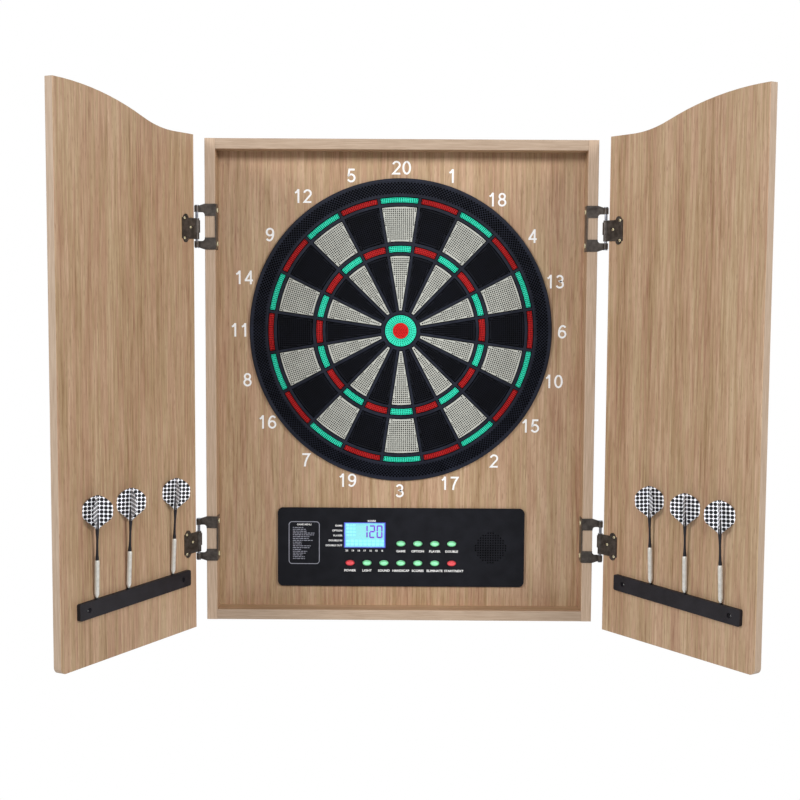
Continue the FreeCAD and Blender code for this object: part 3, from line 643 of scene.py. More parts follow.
def catch_ring(looks):
    """The board's outer ring: a moulded rim and a lattice of diamond pockets."""
    lo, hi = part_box("catch_ring")
    front, back = lo.y, hi.y
    outer = (hi.x - lo.x) / 2
    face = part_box("face_panel")[0].y
    dish = front + DISH_DEPTH
    count, rows = LATTICE_COUNT, LATTICE_ROWS
    soup = Soup()
    profile = [(DISH_OUT_R, dish), (DISH_OUT_R, front + BEAD), (DISH_OUT_R + BEAD, front),
               (outer - RING_ROUND, front), (outer - RING_CORNER, front + RING_CORNER),
               (outer, front + RING_ROUND), (outer, face), (SLEEVE_R, face), (SLEEVE_R, back),
               (SLEEVE_IN_R, back),
               (SLEEVE_IN_R, front + RING_T), (RING_IN_R, front + RING_T), (RING_IN_R, front + BEAD),
               (RING_IN_R + BEAD, front), (DISH_IN_R - BEAD, front), (DISH_IN_R, front + BEAD),
               (DISH_IN_R, dish)]
    revolve(profile, count, soup, len(profile) - 1)

    def node(m, i):
        radius = DISH_IN_R + (DISH_OUT_R - DISH_IN_R) * m / rows
        a = TURN * (i + 0.5 * (m % 2)) / count
        return radius * math.sin(a), dish, radius * math.cos(a)

    base = len(soup.verts)
    for m in range(rows + 1):
        soup.verts += [node(m, i) for i in range(count)]

    def index(m, i):
        return base + m * count + i % count

    floor = dish + LATTICE_DEPTH
    for m in range(1, rows):
        for i in range(count):
            shift = m % 2
            corners = [index(m, i), index(m + 1, i + shift), index(m, i + 1), index(m - 1, i + shift)]
            points = [soup.verts[c] for c in corners]
            cx = sum(p[0] for p in points) / 4
            cz = sum(p[2] for p in points) / 4
            start = len(soup.verts)
            for y, share in ((dish, POCKET_SHARE), (floor, POCKET_FLOOR_SHARE)):
                soup.verts += [(cx + (p[0] - cx) * share, y, cz + (p[2] - cz) * share) for p in points]
            # Pocket walls and floors take the second material, near-black: painted shade inside the pockets.
            for a in range(4):
                b = (a + 1) % 4
                soup.tile(0, (corners[a], corners[b], start + b, start + a))
                soup.tile(1, (start + a, start + b, start + 4 + b, start + 4 + a))
            soup.tile(1, (start + 4, start + 5, start + 6, start + 7))
    for m, step in ((0, 1), (rows, -1)):
        for i in range(count):
            soup.tile(0, (index(m, i), index(m, i + 1), index(m + step, i)))
    obj = soup.piece("catch_ring_lattice", [looks["ring"], looks["pit"]], weld=2e-6)
    finish_piece(obj, "cabinet", "black_plastic", "catch_ring")


# ---- lettering ----

INK_T = 0.12 * MM
INK_STEP = 0.05 * MM
CAPITAL_SHARE = 0.72
LETTER_STRETCH = 1.1
LETTER_BOLD = 0.035


def letters(soup, text, height, x, z, y, align="CENTER"):
    """Adds flat raised lettering on a plane facing the player. height is that of a capital."""
    data = bpy.data.curves.new("letters", "FONT")
    data.body = text
    data.size = height / CAPITAL_SHARE
    data.align_x = align
    data.align_y = "CENTER"
    data.resolution_u = 3
    data.extrude = INK_T / 2
    data.offset = height * LETTER_BOLD
    obj = show("letters", data)
    bpy.context.view_layer.update()
    mesh = bpy.data.meshes.new_from_object(obj.evaluated_get(bpy.context.evaluated_depsgraph_get()))
    verts = [(x + v.co.x * LETTER_STRETCH, y - v.co.z - INK_T / 2, z + v.co.y) for v in mesh.vertices]
    soup.add(verts, [tuple(p.vertices) for p in mesh.polygons])
    bpy.data.objects.remove(obj)
    bpy.data.curves.remove(data)
    bpy.data.meshes.remove(mesh)


def bar(soup, x0, x1, z0, z1, y, thick=INK_T):
    """A flat raised bar facing the player."""
    slab(soup, [(x0, z0), (x1, z0), (x1, z1), (x0, z1)], y, thick)


def slab(soup, corners, y, thick):
    """A flat raised shape with the given outline, anticlockwise seen from the front."""
    n = len(corners)
    verts = [(px, y, pz) for px, pz in corners] + [(px, y - thick, pz) for px, pz in corners]
    faces = [tuple(reversed(range(n))), tuple(range(n, 2 * n))]
    faces += [(i, (i + 1) % n, n + (i + 1) % n, n + i) for i in range(n)]
    soup.add(verts, faces)


NUMBERS = [20, 1, 18, 4, 13, 6, 10, 15, 2, 17, 3, 19, 7, 16, 8, 11, 14, 9, 12, 5]
NUMBER_R = 211.0 * MM
NUMBER_SIZE = 1.04 * MM
NUMBER_H = 17.0
NUMBER_W = 11.0
NUMBER_STEP = 12.6
PEN_W = 2.4 * MM
PAIR_OUT = 4.3 * MM
PAIR_UP = 3.2 * MM


def arc(cx, cz, rx, rz, start, stop, steps=18):
    """Points on part of an ellipse, angles in degrees anticlockwise from three o'clock."""
    points = []
    for i in range(steps + 1):
        a = math.radians(start + (stop - start) * i / steps)
        points.append((cx + rx * math.cos(a), cz + rz * math.sin(a)))
    return points


def digit_strokes(char):
    """Pen strokes of a plain digit in a box 11 wide and 17 high, lower left corner at (0, 0)."""
    if char == "0":
        return [arc(5.5, 8.5, 4.2, 7.3, 90, 450, 30)]
    if char == "1":
        return [[(2.4, 12.4), (4.6, 13.6), (6.6, 16.6)], [(6.6, 17.0), (6.6, 0.0)]]
    if char == "2":
        return [arc(5.4, 11.9, 4.1, 3.9, 170, -35) + [(1.4, 1.2), (10.2, 1.2)]]
    if char == "3":
        return [arc(5.1, 12.3, 3.6, 3.5, 160, -90) + arc(5.2, 4.9, 4.1, 3.8, 90, -160)]
    if char == "4":
        return [[(0.3, 4.8), (10.6, 4.8)], [(1.2, 4.8), (8.0, 16.2)], [(8.0, 17.0), (8.0, 0.0)]]
    if char == "5":
        return [[(9.7, 15.8), (3.1, 15.8), (2.1, 9.0)] + arc(5.3, 5.5, 4.3, 4.4, 135, -155)]
    if char == "6":
        return [arc(5.6, 5.4, 4.1, 4.2, 90, 450, 30), arc(6.4, 7.2, 5.0, 8.6, 192, 50)]
    if char == "7":
        return [[(0.9, 15.8), (9.9, 15.8), (6.9, 10.6), (4.9, 5.2), (4.1, 0.0)]]
    if char == "8":
        return [arc(5.5, 12.4, 3.4, 3.4, 90, 450, 30), arc(5.5, 5.0, 4.1, 3.9, 90, 450, 30)]
    return [[(NUMBER_W - px, NUMBER_H - pz) for px, pz in stroke] for stroke in digit_strokes("6")]


def ribbon(soup, points, width, y, thick):
    """A flat raised band that follows a line of points."""
    line = [Vector(p) for p in points]
    sides = []
    for i, spot in enumerate(line):
        before = (spot - line[i - 1]).normalized() if i else (line[1] - line[0]).normalized()
        after = (line[i + 1] - spot).normalized() if i + 1 < len(line) else before
        way = (before + after).normalized()
        square = Vector((-way.y, way.x)) * (width / 2 / max(way.dot(before), 0.45))
        sides.append((spot + square, spot - square))
    for (a, b), (c, d) in zip(sides, sides[1:]):
        slab(soup, [tuple(b), tuple(d), tuple(c), tuple(a)], y, thick)


def number_ring(looks):
    soup = Soup()
    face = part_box("face_panel")[0].y
    for k, value in enumerate(NUMBERS):
        a = TURN * k / WEDGES
        text = str(value)
        left = NUMBER_R * math.sin(a) - (NUMBER_W + NUMBER_STEP * (len(text) - 1)) / 2 * NUMBER_SIZE
        low = NUMBER_R * math.cos(a) - NUMBER_H / 2 * NUMBER_SIZE
        if text in ("12", "14", "16", "19"):
            left -= PAIR_OUT
            low += PAIR_UP
        for place, char in enumerate(text):
            start = left + place * NUMBER_STEP * NUMBER_SIZE
            for layer, stroke in enumerate(digit_strokes(char)):
                spots = [(start + px * NUMBER_SIZE, low + pz * NUMBER_SIZE) for px, pz in stroke]
                ribbon(soup, spots, PEN_W, face, INK_T + INK_STEP * layer)
    finish_piece(soup.piece("number_ring", [looks["ink"]]), "cabinet", "cream_plastic")


BUTTON_WORDS = {"game": "GAME", "option": "OPTION", "player": "PLAYER", "double": "DOUBLE",
                "power": "POWER", "light": "LIGHT", "sound": "SOUND", "handicap": "HANDICAP",
                "scores": "SCORES", "eliminate": "ELIMINATE", "start_next": "START/NEXT"}
BUTTON_TEXT_H = 2.9 * MM
BUTTON_TEXT_DROP = 10.3 * MM
LAST_WORD_SHIFT = 3.0 * MM
LCD_TEXT_H = 2.3 * MM
LCD_TEXT_GAP = 1.9 * MM
MENU_TEXT_H = 2.2 * MM
MENU_ROW = 2.45
MENU_BAR_HALF_H = 0.42 * MM


def outline_box(soup, x0, x1, z0, z1, radius, line, y):
    """A thin line round a rounded rectangle."""
    def loop(inset):
        points = []
        r = radius - inset
        for cx, cz, start in ((x1 - radius, z1 - radius, 0), (x0 + radius, z1 - radius, 90),
                              (x0 + radius, z0 + radius, 180), (x1 - radius, z0 + radius, 270)):
            for i in range(7):
                a = math.radians(start + 15 * i)
                points.append((cx + r * math.cos(a), cz + r * math.sin(a)))
        return points
    outer, inner = loop(0.0), loop(line)
    n = len(outer)
    for i in range(n):
        j = (i + 1) % n
        slab(soup, [outer[i], outer[j], inner[j], inner[i]], y, INK_T)


MENU_SHORT = [17, 13, 13, 2, 3, 9, 10, 4, 19, 19, 7, 9, 20, 12, 14, 18, 15, 15]


def panel_graphics(looks):
    lo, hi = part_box("control_faceplate")
    y = lo.y
    lcd_lo, lcd_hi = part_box("display_window")
    soup = Soup()
    for name, word in BUTTON_WORDS.items():
        a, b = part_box("button_" + name)
        shift = LAST_WORD_SHIFT if name == "start_next" else 0.0
        letters(soup, word, BUTTON_TEXT_H, (a.x + b.x) / 2 + shift, (a.z + b.z) / 2 - BUTTON_TEXT_DROP, y)
    letters(soup, "SCORE", LCD_TEXT_H, lcd_lo.x + 37 * MM, lcd_hi.z + LCD_TEXT_GAP, y)
    for k, word in enumerate(["GAME", "OPTION", "PLAYER", "DOUBLE IN", "DOUBLE OUT"]):
        row = lcd_hi.z - (4.5 + 6.6 * k) * MM
        letters(soup, word, LCD_TEXT_H, lcd_lo.x - LCD_TEXT_GAP, row, y, "RIGHT")
    for k, word in enumerate(["20", "19", "18", "17", "16", "15", "B"]):
        letters(soup, word, LCD_TEXT_H, lcd_lo.x + (4.2 + 7.8 * k) * MM, lcd_lo.z - 3.6 * MM, y)
    left, right = lo.x + 14.5 * MM, lo.x + 55.3 * MM
    top, low = hi.z - 18.4 * MM, lo.z + 29.5 * MM
    dim = Soup()
    outline_box(dim, left, right, low, top, 4.5 * MM, 0.8 * MM, y)
    letters(soup, "GAME MENU", MENU_TEXT_H, (left + right) / 2, top - 4.2 * MM, y)
    for row in range(len(MENU_SHORT)):
        z = top - (8.2 + MENU_ROW * row) * MM
        x = left + 5.5 * MM
        stop = right - (4.5 + MENU_SHORT[row]) * MM
        step = 0
        while x < stop:
            width = (1.5 + 0.9 * ((row * 5 + step * 3) % 4)) * MM
            bar(dim, x, min(x + width, stop), z - MENU_BAR_HALF_H, z + MENU_BAR_HALF_H, y)
            x += width + 0.8 * MM
            step += 1
    finish_piece(soup.piece("panel_lettering", [looks["ink"]]), "cabinet", "cream_plastic")
    finish_piece(dim.piece("menu_box", [looks["dim_ink"]]), "cabinet", "cream_plastic")


SEVEN = {"1": "bc", "2": "abged", "0": "abcdef"}
DIGIT_W = 7.9 * MM
DIGIT_H = 17.2 * MM
DIGIT_T = 0.05 * MM
MARK_T = 0.03 * MM


def digit_bars(soup, char, x, z, width, height, y, thick):
    """One seven-bar digit with its lower left corner at (x, z)."""
    t = width * 0.24
    mid = height / 2
    spans = {"a": (t * 0.6, width - t * 0.6, height - t, height),
             "g": (t * 0.6, width - t * 0.6, mid - t / 2, mid + t / 2),
             "d": (t * 0.6, width - t * 0.6, 0, t), "f": (0, t, mid + t * 0.3, height - t * 0.5),
             "b": (width - t, width, mid + t * 0.3, height - t * 0.5),
             "e": (0, t, t * 0.5, mid - t * 0.3), "c": (width - t, width, t * 0.5, mid - t * 0.3)}
    for key in SEVEN[char]:
        x0, x1, z0, z1 = spans[key]
        bar(soup, x + x0, x + x1, z + z0, z + z1, y, thick)


def display(looks):
    lo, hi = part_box("display_module")
    soup = Soup()
    y = lo.y
    for k, char in enumerate("120"):
        left = hi.x - (31.4 - 9.8 * k) * MM
        digit_bars(soup, char, left, hi.z - 20.6 * MM, DIGIT_W, DIGIT_H, y, DIGIT_T)
    finish_piece(soup.piece("display_digits", [looks["digit"]]), "cabinet", "display_blue")
    faint = Soup()
    for i in range(9):
        for j in range(2):
            bar(faint, lo.x + (3.5 + 5.6 * i) * MM, lo.x + (7.3 + 5.6 * i) * MM,
                lo.z + (3.0 + 4.2 * j) * MM, lo.z + (5.8 + 4.2 * j) * MM, y, MARK_T)
    for i in range(3):
        for j in range(4):
            bar(faint, lo.x + (3.5 + 4.2 * i) * MM, lo.x + (6.4 + 4.2 * i) * MM,
                hi.z - (4.6 + 4.4 * j) * MM, hi.z - (2.4 + 4.4 * j) * MM, y, MARK_T)
    finish_piece(faint.piece("display_marks", [looks["mark"]]), "cabinet", "display_blue")


# ---- buttons ----
BUTTON_FLANGE = 1.2 * MM


def button(name, looks):
    lo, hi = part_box("button_" + name)
    cx, cz = (lo.x + hi.x) / 2, (lo.z + hi.z) / 2
    half_w, half_h = (hi.x - lo.x) / 2, (hi.z - lo.z) / 2
    flange, top = BUTTON_FLANGE, lo.y
    rings = [(0, hi.y), (0, hi.y - flange), (flange, hi.y - flange), (flange, top + 0.8 * MM),
             (flange + 0.2 * MM, top + 0.3 * MM), (flange + 0.65 * MM, top),
             (flange + 1.15 * MM, top + 0.05 * MM), (flange + 1.5 * MM, top + 0.3 * MM),
             (flange + 2.4 * MM, top + 0.22 * MM), (flange + 3.3 * MM, top + 0.18 * MM)]
    soup = Soup()
    count = 40
    for inset, y in rings:
        for i in range(count):
            a = TURN * i / count
            soup.verts.append((cx + (half_w - inset) * math.cos(a), y, cz + (half_h - inset) * math.sin(a)))
    for p in range(len(rings) - 1):
        for i in range(count):
            j = (i + 1) % count
            # Rings 3 to 6, the side wall and slope, take the darker second tone as painted shade round the
            # button's edge.
            soup.tile(1 if 3 <= p <= 6 else 0,
                      (p * count + j, p * count + i, (p + 1) * count + i, (p + 1) * count + j))
    soup.tile(0, tuple(reversed(range(count))), tuple((len(rings) - 1) * count + i for i in range(count)))
    tone = "button_red" if name in ("power", "start_next") else "button_green"
    obj = soup.piece("button_cap_" + name, [looks[tone], looks[tone + "_rim"]], smooth=40, weld=1e-7)
    finish_piece(obj, "button_" + name + "_key", tone, "button_" + name)


# ---- darts, each measured upwards from its point ----
COLLAR_LOW = 17 * MM
BARREL_LOW = 18.6 * MM
COLLAR_R = 2.2 * MM
BARREL_R = 2.9 * MM
SHAFT_LOW = 63.5 * MM
SHAFT_HIGH = 115.5 * MM
FLIGHT_LOW = 100.3 * MM
FLIGHT_HALF_W = 18.0 * MM
FRONT_WINGS = {"left": [(53, 143), (60, 145), (30, 124)], "right": [(54, 144), (30, 122), (34, 124)]}
REAR_WINGS = (208, 332)
KITE = [(0.02, 0.0), (0.10, 0.5), (0.25, 3.4), (0.60, 8.8), (0.87, 13.0), (0.96, 16.0), (1.0, 20.0),
        (1.0, 24.0), (0.97, 28.6), (0.88, 31.8), (0.60, 36.4), (0.28, 39.4), (0.10, 40.4), (0.02, 40.6)]


def lathe(soup, profile, count, kind):
    """Turns a profile of (radius, z) about the dart's own axis."""
    base = len(soup.verts)
    for radius, z in profile:
        for i in range(count):
            a = TURN * i / count
            soup.verts.append((radius * math.cos(a), radius * math.sin(a), z))
    for p in range(len(profile) - 1):
        for i in range(count):
            j = (i + 1) % count
            low, high = base + p * count, base + (p + 1) * count
            soup.tile(kind, (low + i, low + j, high + j, high + i))
    last = base + (len(profile) - 1) * count
    soup.tile(kind, tuple(base + i for i in reversed(range(count))), tuple(last + i for i in range(count)))


def barrel_profile(bottom, top, radius):
    profile = [(1.4 * MM, bottom), (radius * 0.84, bottom + 3 * MM), (radius * 0.93, bottom + 4 * MM)]
    z = bottom + 5 * MM
    pitch = 1.25 * MM
    while z < top - 6 * MM:
        profile += [(radius, z), (radius, z + pitch * 0.55), (radius * 0.93, z + pitch * 0.7),
                    (radius * 0.93, z + pitch * 0.9)]
        z += pitch
    profile += [(radius, z), (radius, top - 2 * MM), (radius * 0.9, top - 0.8 * MM), (radius * 0.8, top)]
    return profile


def wing(soup, outline, turn, thick):
    c, s = math.cos(turn), math.sin(turn)
    n = len(outline)
    half = thick / 2
    verts = []
    for side in (-half, half):
        verts += [(u * c - side * s, u * s + side * c, z) for u, z in outline]
    faces = [tuple(range(n)), tuple(reversed(range(n, 2 * n)))]
    faces += [(i, n + i, n + (i + 1) % n, (i + 1) % n) for i in range(n)]
    soup.add(verts, faces, 3)


def wing_outline():
    """One wing of a flight, from the shaft outwards: a rounded kite."""
    return [(FLIGHT_HALF_W * share, FLIGHT_LOW + rise * MM) for share, rise in KITE]


def dart_place(name):
    """Turns a dart built point down on its own axis into its place in the rack."""
    joint = next(j for j in frame["joints"] if j["name"] == name + "_lift")
    axis = Vector(joint["axis"]).normalized()
    rows = [v.co for v in nodes[name].data.vertices]
    low = min(row.dot(axis) for row in rows)
    foot = [row for row in rows if row.dot(axis) < low + 0.05 * MM]
    tip = sum(foot, Vector()) / len(foot)
    room = into_room(name.split("_")[1])
    room = (room - axis * axis.dot(room)).normalized()
    turn = Matrix((room.cross(axis), room, axis)).transposed().to_4x4()
    return Matrix.Translation(tip) @ turn


def dart(name, looks):
    soup = Soup()
    lathe(soup, [(0.3 * MM, 0), (0.6 * MM, COLLAR_LOW * 0.4), (1.0 * MM, COLLAR_LOW), (1.9 * MM, COLLAR_LOW),
                 (COLLAR_R, COLLAR_LOW + 0.3 * MM), (COLLAR_R, BARREL_LOW - 0.3 * MM),
                 (1.9 * MM, BARREL_LOW)], 20, 0)
    lathe(soup, barrel_profile(BARREL_LOW, SHAFT_LOW, BARREL_R), 28, 1)
    shaft = [(2.1 * MM, SHAFT_LOW), (2.1 * MM, SHAFT_LOW + 3 * MM), (1.7 * MM, SHAFT_LOW + 6 * MM),
             (1.35 * MM, SHAFT_LOW + 13 * MM), (1.35 * MM, SHAFT_LOW + 24 * MM),
             (1.8 * MM, SHAFT_LOW + 31 * MM), (2.1 * MM, SHAFT_LOW + 35 * MM),
             (2.1 * MM, SHAFT_HIGH - 7 * MM), (1.5 * MM, SHAFT_HIGH)]
    lathe(soup, shaft, 20, 2)
    _, side, place = name.split("_")
    for angle in FRONT_WINGS[side][int(place) - 1] + REAR_WINGS:
        wing(soup, wing_outline(), math.radians(angle), 0.4 * MM)
    tones = [looks[part] for part in ("tip", "barrel", "shaft", "flight")]
    obj = soup.piece(name + "_detailed", tones, smooth=35)
    obj.matrix_world = dart_place(name)
    finish_piece(obj, name + "_body", "dart_body", name)


# ---- hinge and rack screws ----
SCREW_SHANK_R = 1.6 * MM
SCREW_PITCH = 1.1 * MM
SLOT_HALF_L = 0.62
SLOT_HALF_W = 0.14
BRACKET_HEAD_H = 1.3 * MM
LEAF_HEAD_H = 0.5 * MM
RACK_HEAD_H = 1.3 * MM


def islands(data):
    """Groups of points of a mesh that hang together."""
    bm = bmesh.new()
    bm.from_mesh(data)
    bmesh.ops.remove_doubles(bm, verts=bm.verts, dist=1e-5)
    left = set(bm.verts)
    groups = []
    while left:
        queue = [left.pop()]
        group = []
        while queue:
            vert = queue.pop()
            group.append(vert.co.copy())
            for edge in vert.link_edges:
                other = edge.other_vert(vert)
                if other in left:
                    left.remove(other)
                    queue.append(other)
        groups.append(group)
    bm.free()
    return groups


def cross_head(soup, radius, height):
    """A low domed head on z = 0 with a cross-shaped recess."""
    arm, thin = radius * SLOT_HALF_L, radius * SLOT_HALF_W
    cross = [(thin, arm), (-thin, arm), (-thin, thin), (-arm, thin), (-arm, -thin), (-thin, -thin),
             (-thin, -arm), (thin, -arm), (thin, -thin), (arm, -thin), (arm, thin), (thin, thin)]
    sides = 28
    flat = [Vector(p) for p in circle(radius, sides) + circle(radius * 0.86, sides) + cross]
    ties = [(i, (i + 1) % sides) for i in range(sides)]
    ties += [(sides + i, sides + (i + 1) % sides) for i in range(sides)]
    first = 2 * sides
    ties += [(first + i, first + (i + 1) % 12) for i in range(12)]
    out = delaunay_2d_cdt(flat, ties, [], 1, 1e-8)

    def level(x, y):
        return height * (1 - 0.5 * (math.hypot(x, y) / radius) ** 2.5)

    def open_area(face):
        x = abs(sum(out[0][i][0] for i in face) / 3)
        y = abs(sum(out[0][i][1] for i in face) / 3)
        return not ((x < arm and y < thin) or (x < thin and y < arm))

    kept = [tuple(face) for face in out[2] if open_area(face)]
    soup.add([(p[0], p[1], level(p[0], p[1])) for p in out[0]], kept)
    rim = circle(radius, sides)
    walls = [(i, (i + 1) % sides, sides + (i + 1) % sides, sides + i) for i in range(sides)]
    soup.add([(x, y, 0) for x, y in rim] + [(x, y, level(x, y)) for x, y in rim], walls)
    # The cross recess takes the second material, near-black: painted shade in the recess.
    floor = height * 0.25
    pit = [(i, 12 + i, 12 + (i + 1) % 12, (i + 1) % 12) for i in range(12)]
    soup.add([(x, y, level(x, y)) for x, y in cross] + [(x, y, floor) for x, y in cross],
             pit + [tuple(range(12, 24))], 1)


def one_screw(radius, height, length):
    soup = Soup()
    cross_head(soup, radius, height)
    root = SCREW_SHANK_R * 0.75
    z = height - length + 1.5 * MM
    profile = [(SCREW_SHANK_R * 0.3, height - length), (root, z)]
    while z < -SCREW_PITCH * 1.5:
        profile += [(root, z + SCREW_PITCH * 0.3), (SCREW_SHANK_R, z + SCREW_PITCH * 0.5),
                    (root, z + SCREW_PITCH * 0.7)]
        z += SCREW_PITCH
    profile.append((root, 0.0))
    lathe(soup, profile, 14, 0)
    return soup


def screw_set(node, out_of_head, head_height, body, materials):
    """Replaces the plain screws of a CAD node. out_of_head gives the way a screw's head faces."""
    soup = Soup()
    for group in islands(nodes[node].data):
        out = out_of_head(group)
        reach = [p.dot(out) for p in group]
        top, low = max(reach), min(reach)
        crown = [p for p, r in zip(group, reach) if r > top - 0.02 * MM]
        centre = sum(crown, Vector()) / len(crown)
        radius = max((p - centre).length for p in crown)
        across = out.cross(Vector((0, 0, 1))).normalized()
        turn = Matrix((across, out.cross(across), out)).transposed()
        base = centre - out * head_height
        screw = one_screw(radius, head_height, top - low)
        soup.copy_of(screw, lambda v: tuple(base + turn @ Vector(v)))
    finish_piece(soup.piece(node + "_cross", materials, smooth=35), body, "steel_screws", node)


def all_screws(looks):
    zinc = [looks["zinc_yellow"], looks["pit"]]
    white = [looks["zinc_white"], looks["pit"]]
    screw_set("bracket_screws", lambda g: Vector((-1 if g[0].x > 0 else 1, 0, 0)), BRACKET_HEAD_H,
              "cabinet", zinc)
    for side in ("left", "right"):
        inward = into_room(side)
        screw_set("leaf_screws_" + side, lambda g: inward, LEAF_HEAD_H, "door_" + side, zinc)
        screw_set("rack_screws_" + side, lambda g: inward, RACK_HEAD_H, "door_" + side, white)


# ---- stage ----
FLOOR_DROP = 1.73


def add_floor(material):
    corners = [(-3.5, -3.5), (3.5, -3.5), (3.5, 1.9), (-3.5, 1.9)]
    data = bpy.data.meshes.new("floor")
    data.from_pydata([(x, y, -FLOOR_DROP) for x, y in corners], [], [(0, 1, 2, 3)])
    data.materials.append(material)
    show("floor", data)


def soft_light(name, azimuth, elevation, distance, size, share):
    """An area lamp. share is what it adds to a white surface that faces it."""
    data = bpy.data.lights.new(name, "AREA")
    data.shape = "DISK"
    data.size = size
    data.energy = share * math.pi ** 2 * distance ** 2
    obj = show(name, data)
    a, e = math.radians(azimuth), math.radians(elevation)
    away = Vector((math.sin(a) * math.cos(e), -math.cos(a) * math.cos(e), math.sin(e)))
    aim = Vector((0, -0.05, -0.05))
    turn = away.to_track_quat("Z", "Y").to_matrix().to_4x4()
    obj.matrix_world = Matrix.Translation(aim + away * distance) @ turn


def add_world():
    world = bpy.data.worlds.new("studio")
    bpy.context.scene.world = world
    world.use_nodes = True
    tree = world.node_tree
    back = tree.nodes["Background"]
    coord = tree.nodes.new("ShaderNodeTexCoord")
    parts = tree.nodes.new("ShaderNodeSeparateXYZ")
    spread = tree.nodes.new("ShaderNodeMapRange")
    for name, value in (("From Min", -0.1), ("From Max", 0.45), ("To Min", 0.30), ("To Max", 1.0)):
        spread.inputs[name].default_value = value
    tree.links.new(coord.outputs["Generated"], parts.inputs[0])
    tree.links.new(parts.outputs["Y"], spread.inputs["Value"])
    tree.links.new(spread.outputs[0], back.inputs["Strength"])
    back.inputs["Color"].default_value = (1, 1, 1, 1)


def make_looks():
    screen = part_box("display_module")
    return {
        # Near-black for holes, pockets and screw recesses: painted shade on their walls, floors and in the
        # screws' crosses, and the dark backing at the bottoms of the board's holes.
        "pit": plastic("hole_shade_and_backing", (4, 4, 6), (9, 9, 12), 0.8, specular=0.05),
        "cream": plastic("cream_segment", (177, 179, 172), (193, 195, 187), 0.55, specular=0.3),
        "black_segment": plastic("black_segment", (8, 10, 17), (15, 17, 26), 0.6, specular=0.12),
        "green": plastic("green_segment", (38, 214, 176), (58, 228, 190), 0.5, specular=0.15),
        "red": plastic("red_segment", (168, 24, 26), (190, 34, 36), 0.5, specular=0.15),
        "bull_green": plastic("bull_green", (40, 216, 176), (60, 230, 192), 0.5, specular=0.15),
        "bull_red": plastic("bull_red", (212, 28, 28), (228, 42, 40), 0.5, specular=0.15),
        "ring": plastic("ring_plastic", (22, 25, 36), (33, 37, 51), 0.42, specular=0.2),
        "ink": plastic("white_ink", (240, 240, 240), (250, 250, 250), 0.5, depth=0.00001),
        "dim_ink": plastic("grey_ink", (150, 152, 166), (168, 170, 184), 0.5, depth=0.00001),
        "digit": glowing("digit_violet", (124, 50, 214), (142, 66, 228), 0.45),
        "mark": glowing("mark_pale", (138, 228, 248), (146, 236, 252), 0.85),
        # Buttons: the caps and their darker edge tones glow faintly as painted light, though the keys are
        # unlit.
        "button_green": glowing("button_green", (140, 222, 176), (158, 234, 192), 0.20),
        # The darker second tone of each button is painted shade for its side wall and slope.
        "button_green_rim": glowing("button_green_rim", (104, 196, 134), (122, 208, 150), 0.10),
        "button_red": glowing("button_red", (216, 74, 82), (230, 92, 98), 0.14),
        "button_red_rim": glowing("button_red_rim", (196, 48, 56), (212, 62, 70), 0.08),
        "tip": plastic("dart_tip", (26, 26, 30), (38, 38, 42), 0.4),
        "barrel": metal("dart_barrel", (214, 212, 205), (236, 234, 228), 0.45, 0.35),
        "shaft": plastic("dart_shaft", (22, 22, 28), (34, 34, 42), 0.35),
        "flight": flight_film("dart_flight"),
        "zinc_yellow": metal("zinc_yellow", (226, 216, 172), (246, 240, 206), 0.42, 0.35),
        "zinc_white": metal("zinc_white", (196, 200, 206), (230, 232, 236), 0.32, 0.5),
        "screen": lit_screen("lit_screen", screen[0], screen[1]),
    }


def door_axis(name):
    """Unit vector across a door leaf, from its shape as it stands open."""
    rows = [Vector((v.co.x, v.co.y, 0)) for v in nodes[name].data.vertices]
    near = min(rows, key=lambda p: abs(p.x))
    far = max(rows, key=lambda p: abs(p.x))
    along = (far - near).normalized()
    return Vector((-along.y, along.x, 0))


def into_room(side):
    """Unit vector square to a door's inside face, away from the door."""
    across = door_axis("door_panel_" + side)
    return across if across.y < 0 else -across


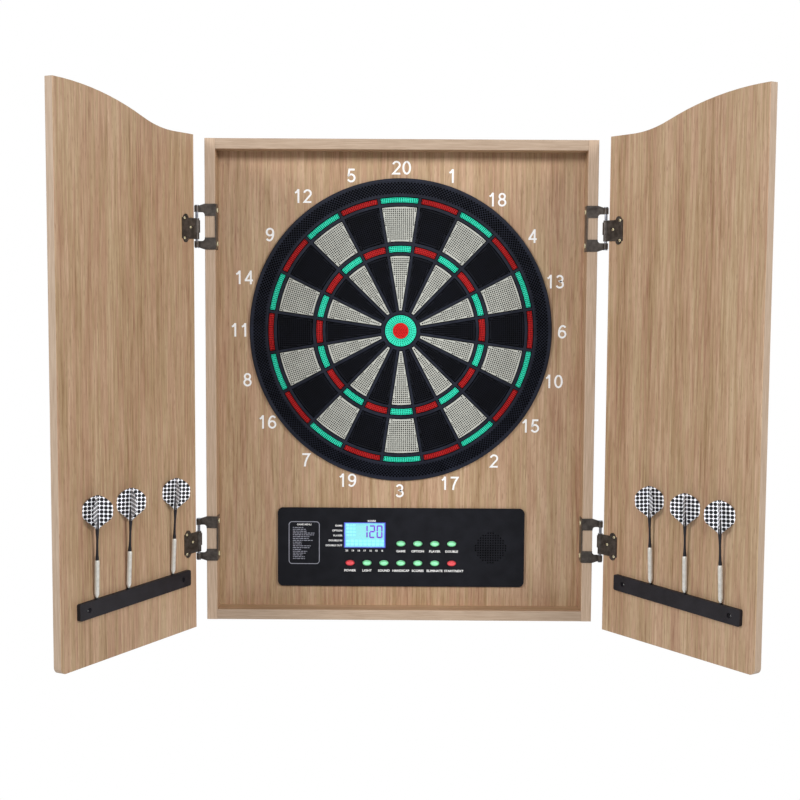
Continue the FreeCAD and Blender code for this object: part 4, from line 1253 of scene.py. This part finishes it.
def dress_cad(looks):
    grain_face = wood("wood_face", "z")
    grain_side = wood("wood_side", "z", ((0, 1, 0), True))
    grain_cross = wood("wood_cross", "x", ((0, 1, 0), True), 0.91)
    dress(["face_panel"], grain_face)
    dress(["side_panel_left", "side_panel_right"], grain_side)
    dress(["top_panel", "bottom_panel"], grain_cross)
    for side in ("left", "right"):
        name = "door_panel_" + side
        dress([name], wood("wood_door_" + side, "z", (tuple(door_axis(name)), False), 0.91))
    dress(["back_panel"], hardboard("hardboard"))
    black = plastic("black_moulded", (20, 21, 26), (29, 30, 36), 0.6, 900, 0.0001, 0.12)
    dress(["control_faceplate", "board_tray"], black)
    dress(["spider"], looks["ring"])
    dress(["dart_rack_left", "dart_rack_right"],
          plastic("rack_plastic", (30, 28, 32), (42, 40, 45), 0.5, 700, 0.00012, 0.2))
    hinges = [n for n in nodes if n.startswith(("hinge_bracket", "hinge_leaf"))]
    dress(hinges, metal("dark_bronze", (70, 64, 60), (104, 97, 92), 0.36, 0.72))
    dress(["hinge_pins"], metal("pin_steel", (120, 124, 136), (176, 180, 190), 0.3, 0.8))
    dress(["tray_screws", "circuit_screws"], looks["zinc_white"])
    dress(["sensor_membrane"], plastic("membrane", (60, 70, 84), (84, 94, 108), 0.35))
    dress(["display_window"], clear_plastic("display_clear"))
    dress(["display_module"], looks["screen"])
    dress(["circuit_board"], plastic("board_lacquer", (16, 82, 48), (28, 104, 62), 0.35))
    dress(["keypad_mat"], plastic("keypad_rubber", (62, 62, 66), (80, 80, 84), 0.7))
    dress(["speaker"], metal("speaker_steel", (18, 18, 21), (30, 30, 34), 0.5))


add_camera()
looks = make_looks()
dress_cad(looks)
all_segments(looks)
bulls(looks)
catch_ring(looks)
number_ring(looks)
panel_graphics(looks)
display(looks)
for word in BUTTON_WORDS:
    button(word, looks)
for number in (1, 2, 3):
    dart(f"dart_left_{number}", looks)
    dart(f"dart_right_{number}", looks)

all_screws(looks)

add_floor(floor_material("pale_floor"))
soft_light("key_left", -50, 20, 3.0, 0.7, 0.50)
soft_light("key_right", 50, 20, 3.0, 0.7, 0.50)
soft_light("fill_front", 0, 24, 3.2, 0.9, 0.20)
add_world()
bpy.context.scene.view_settings.view_transform = "Standard"
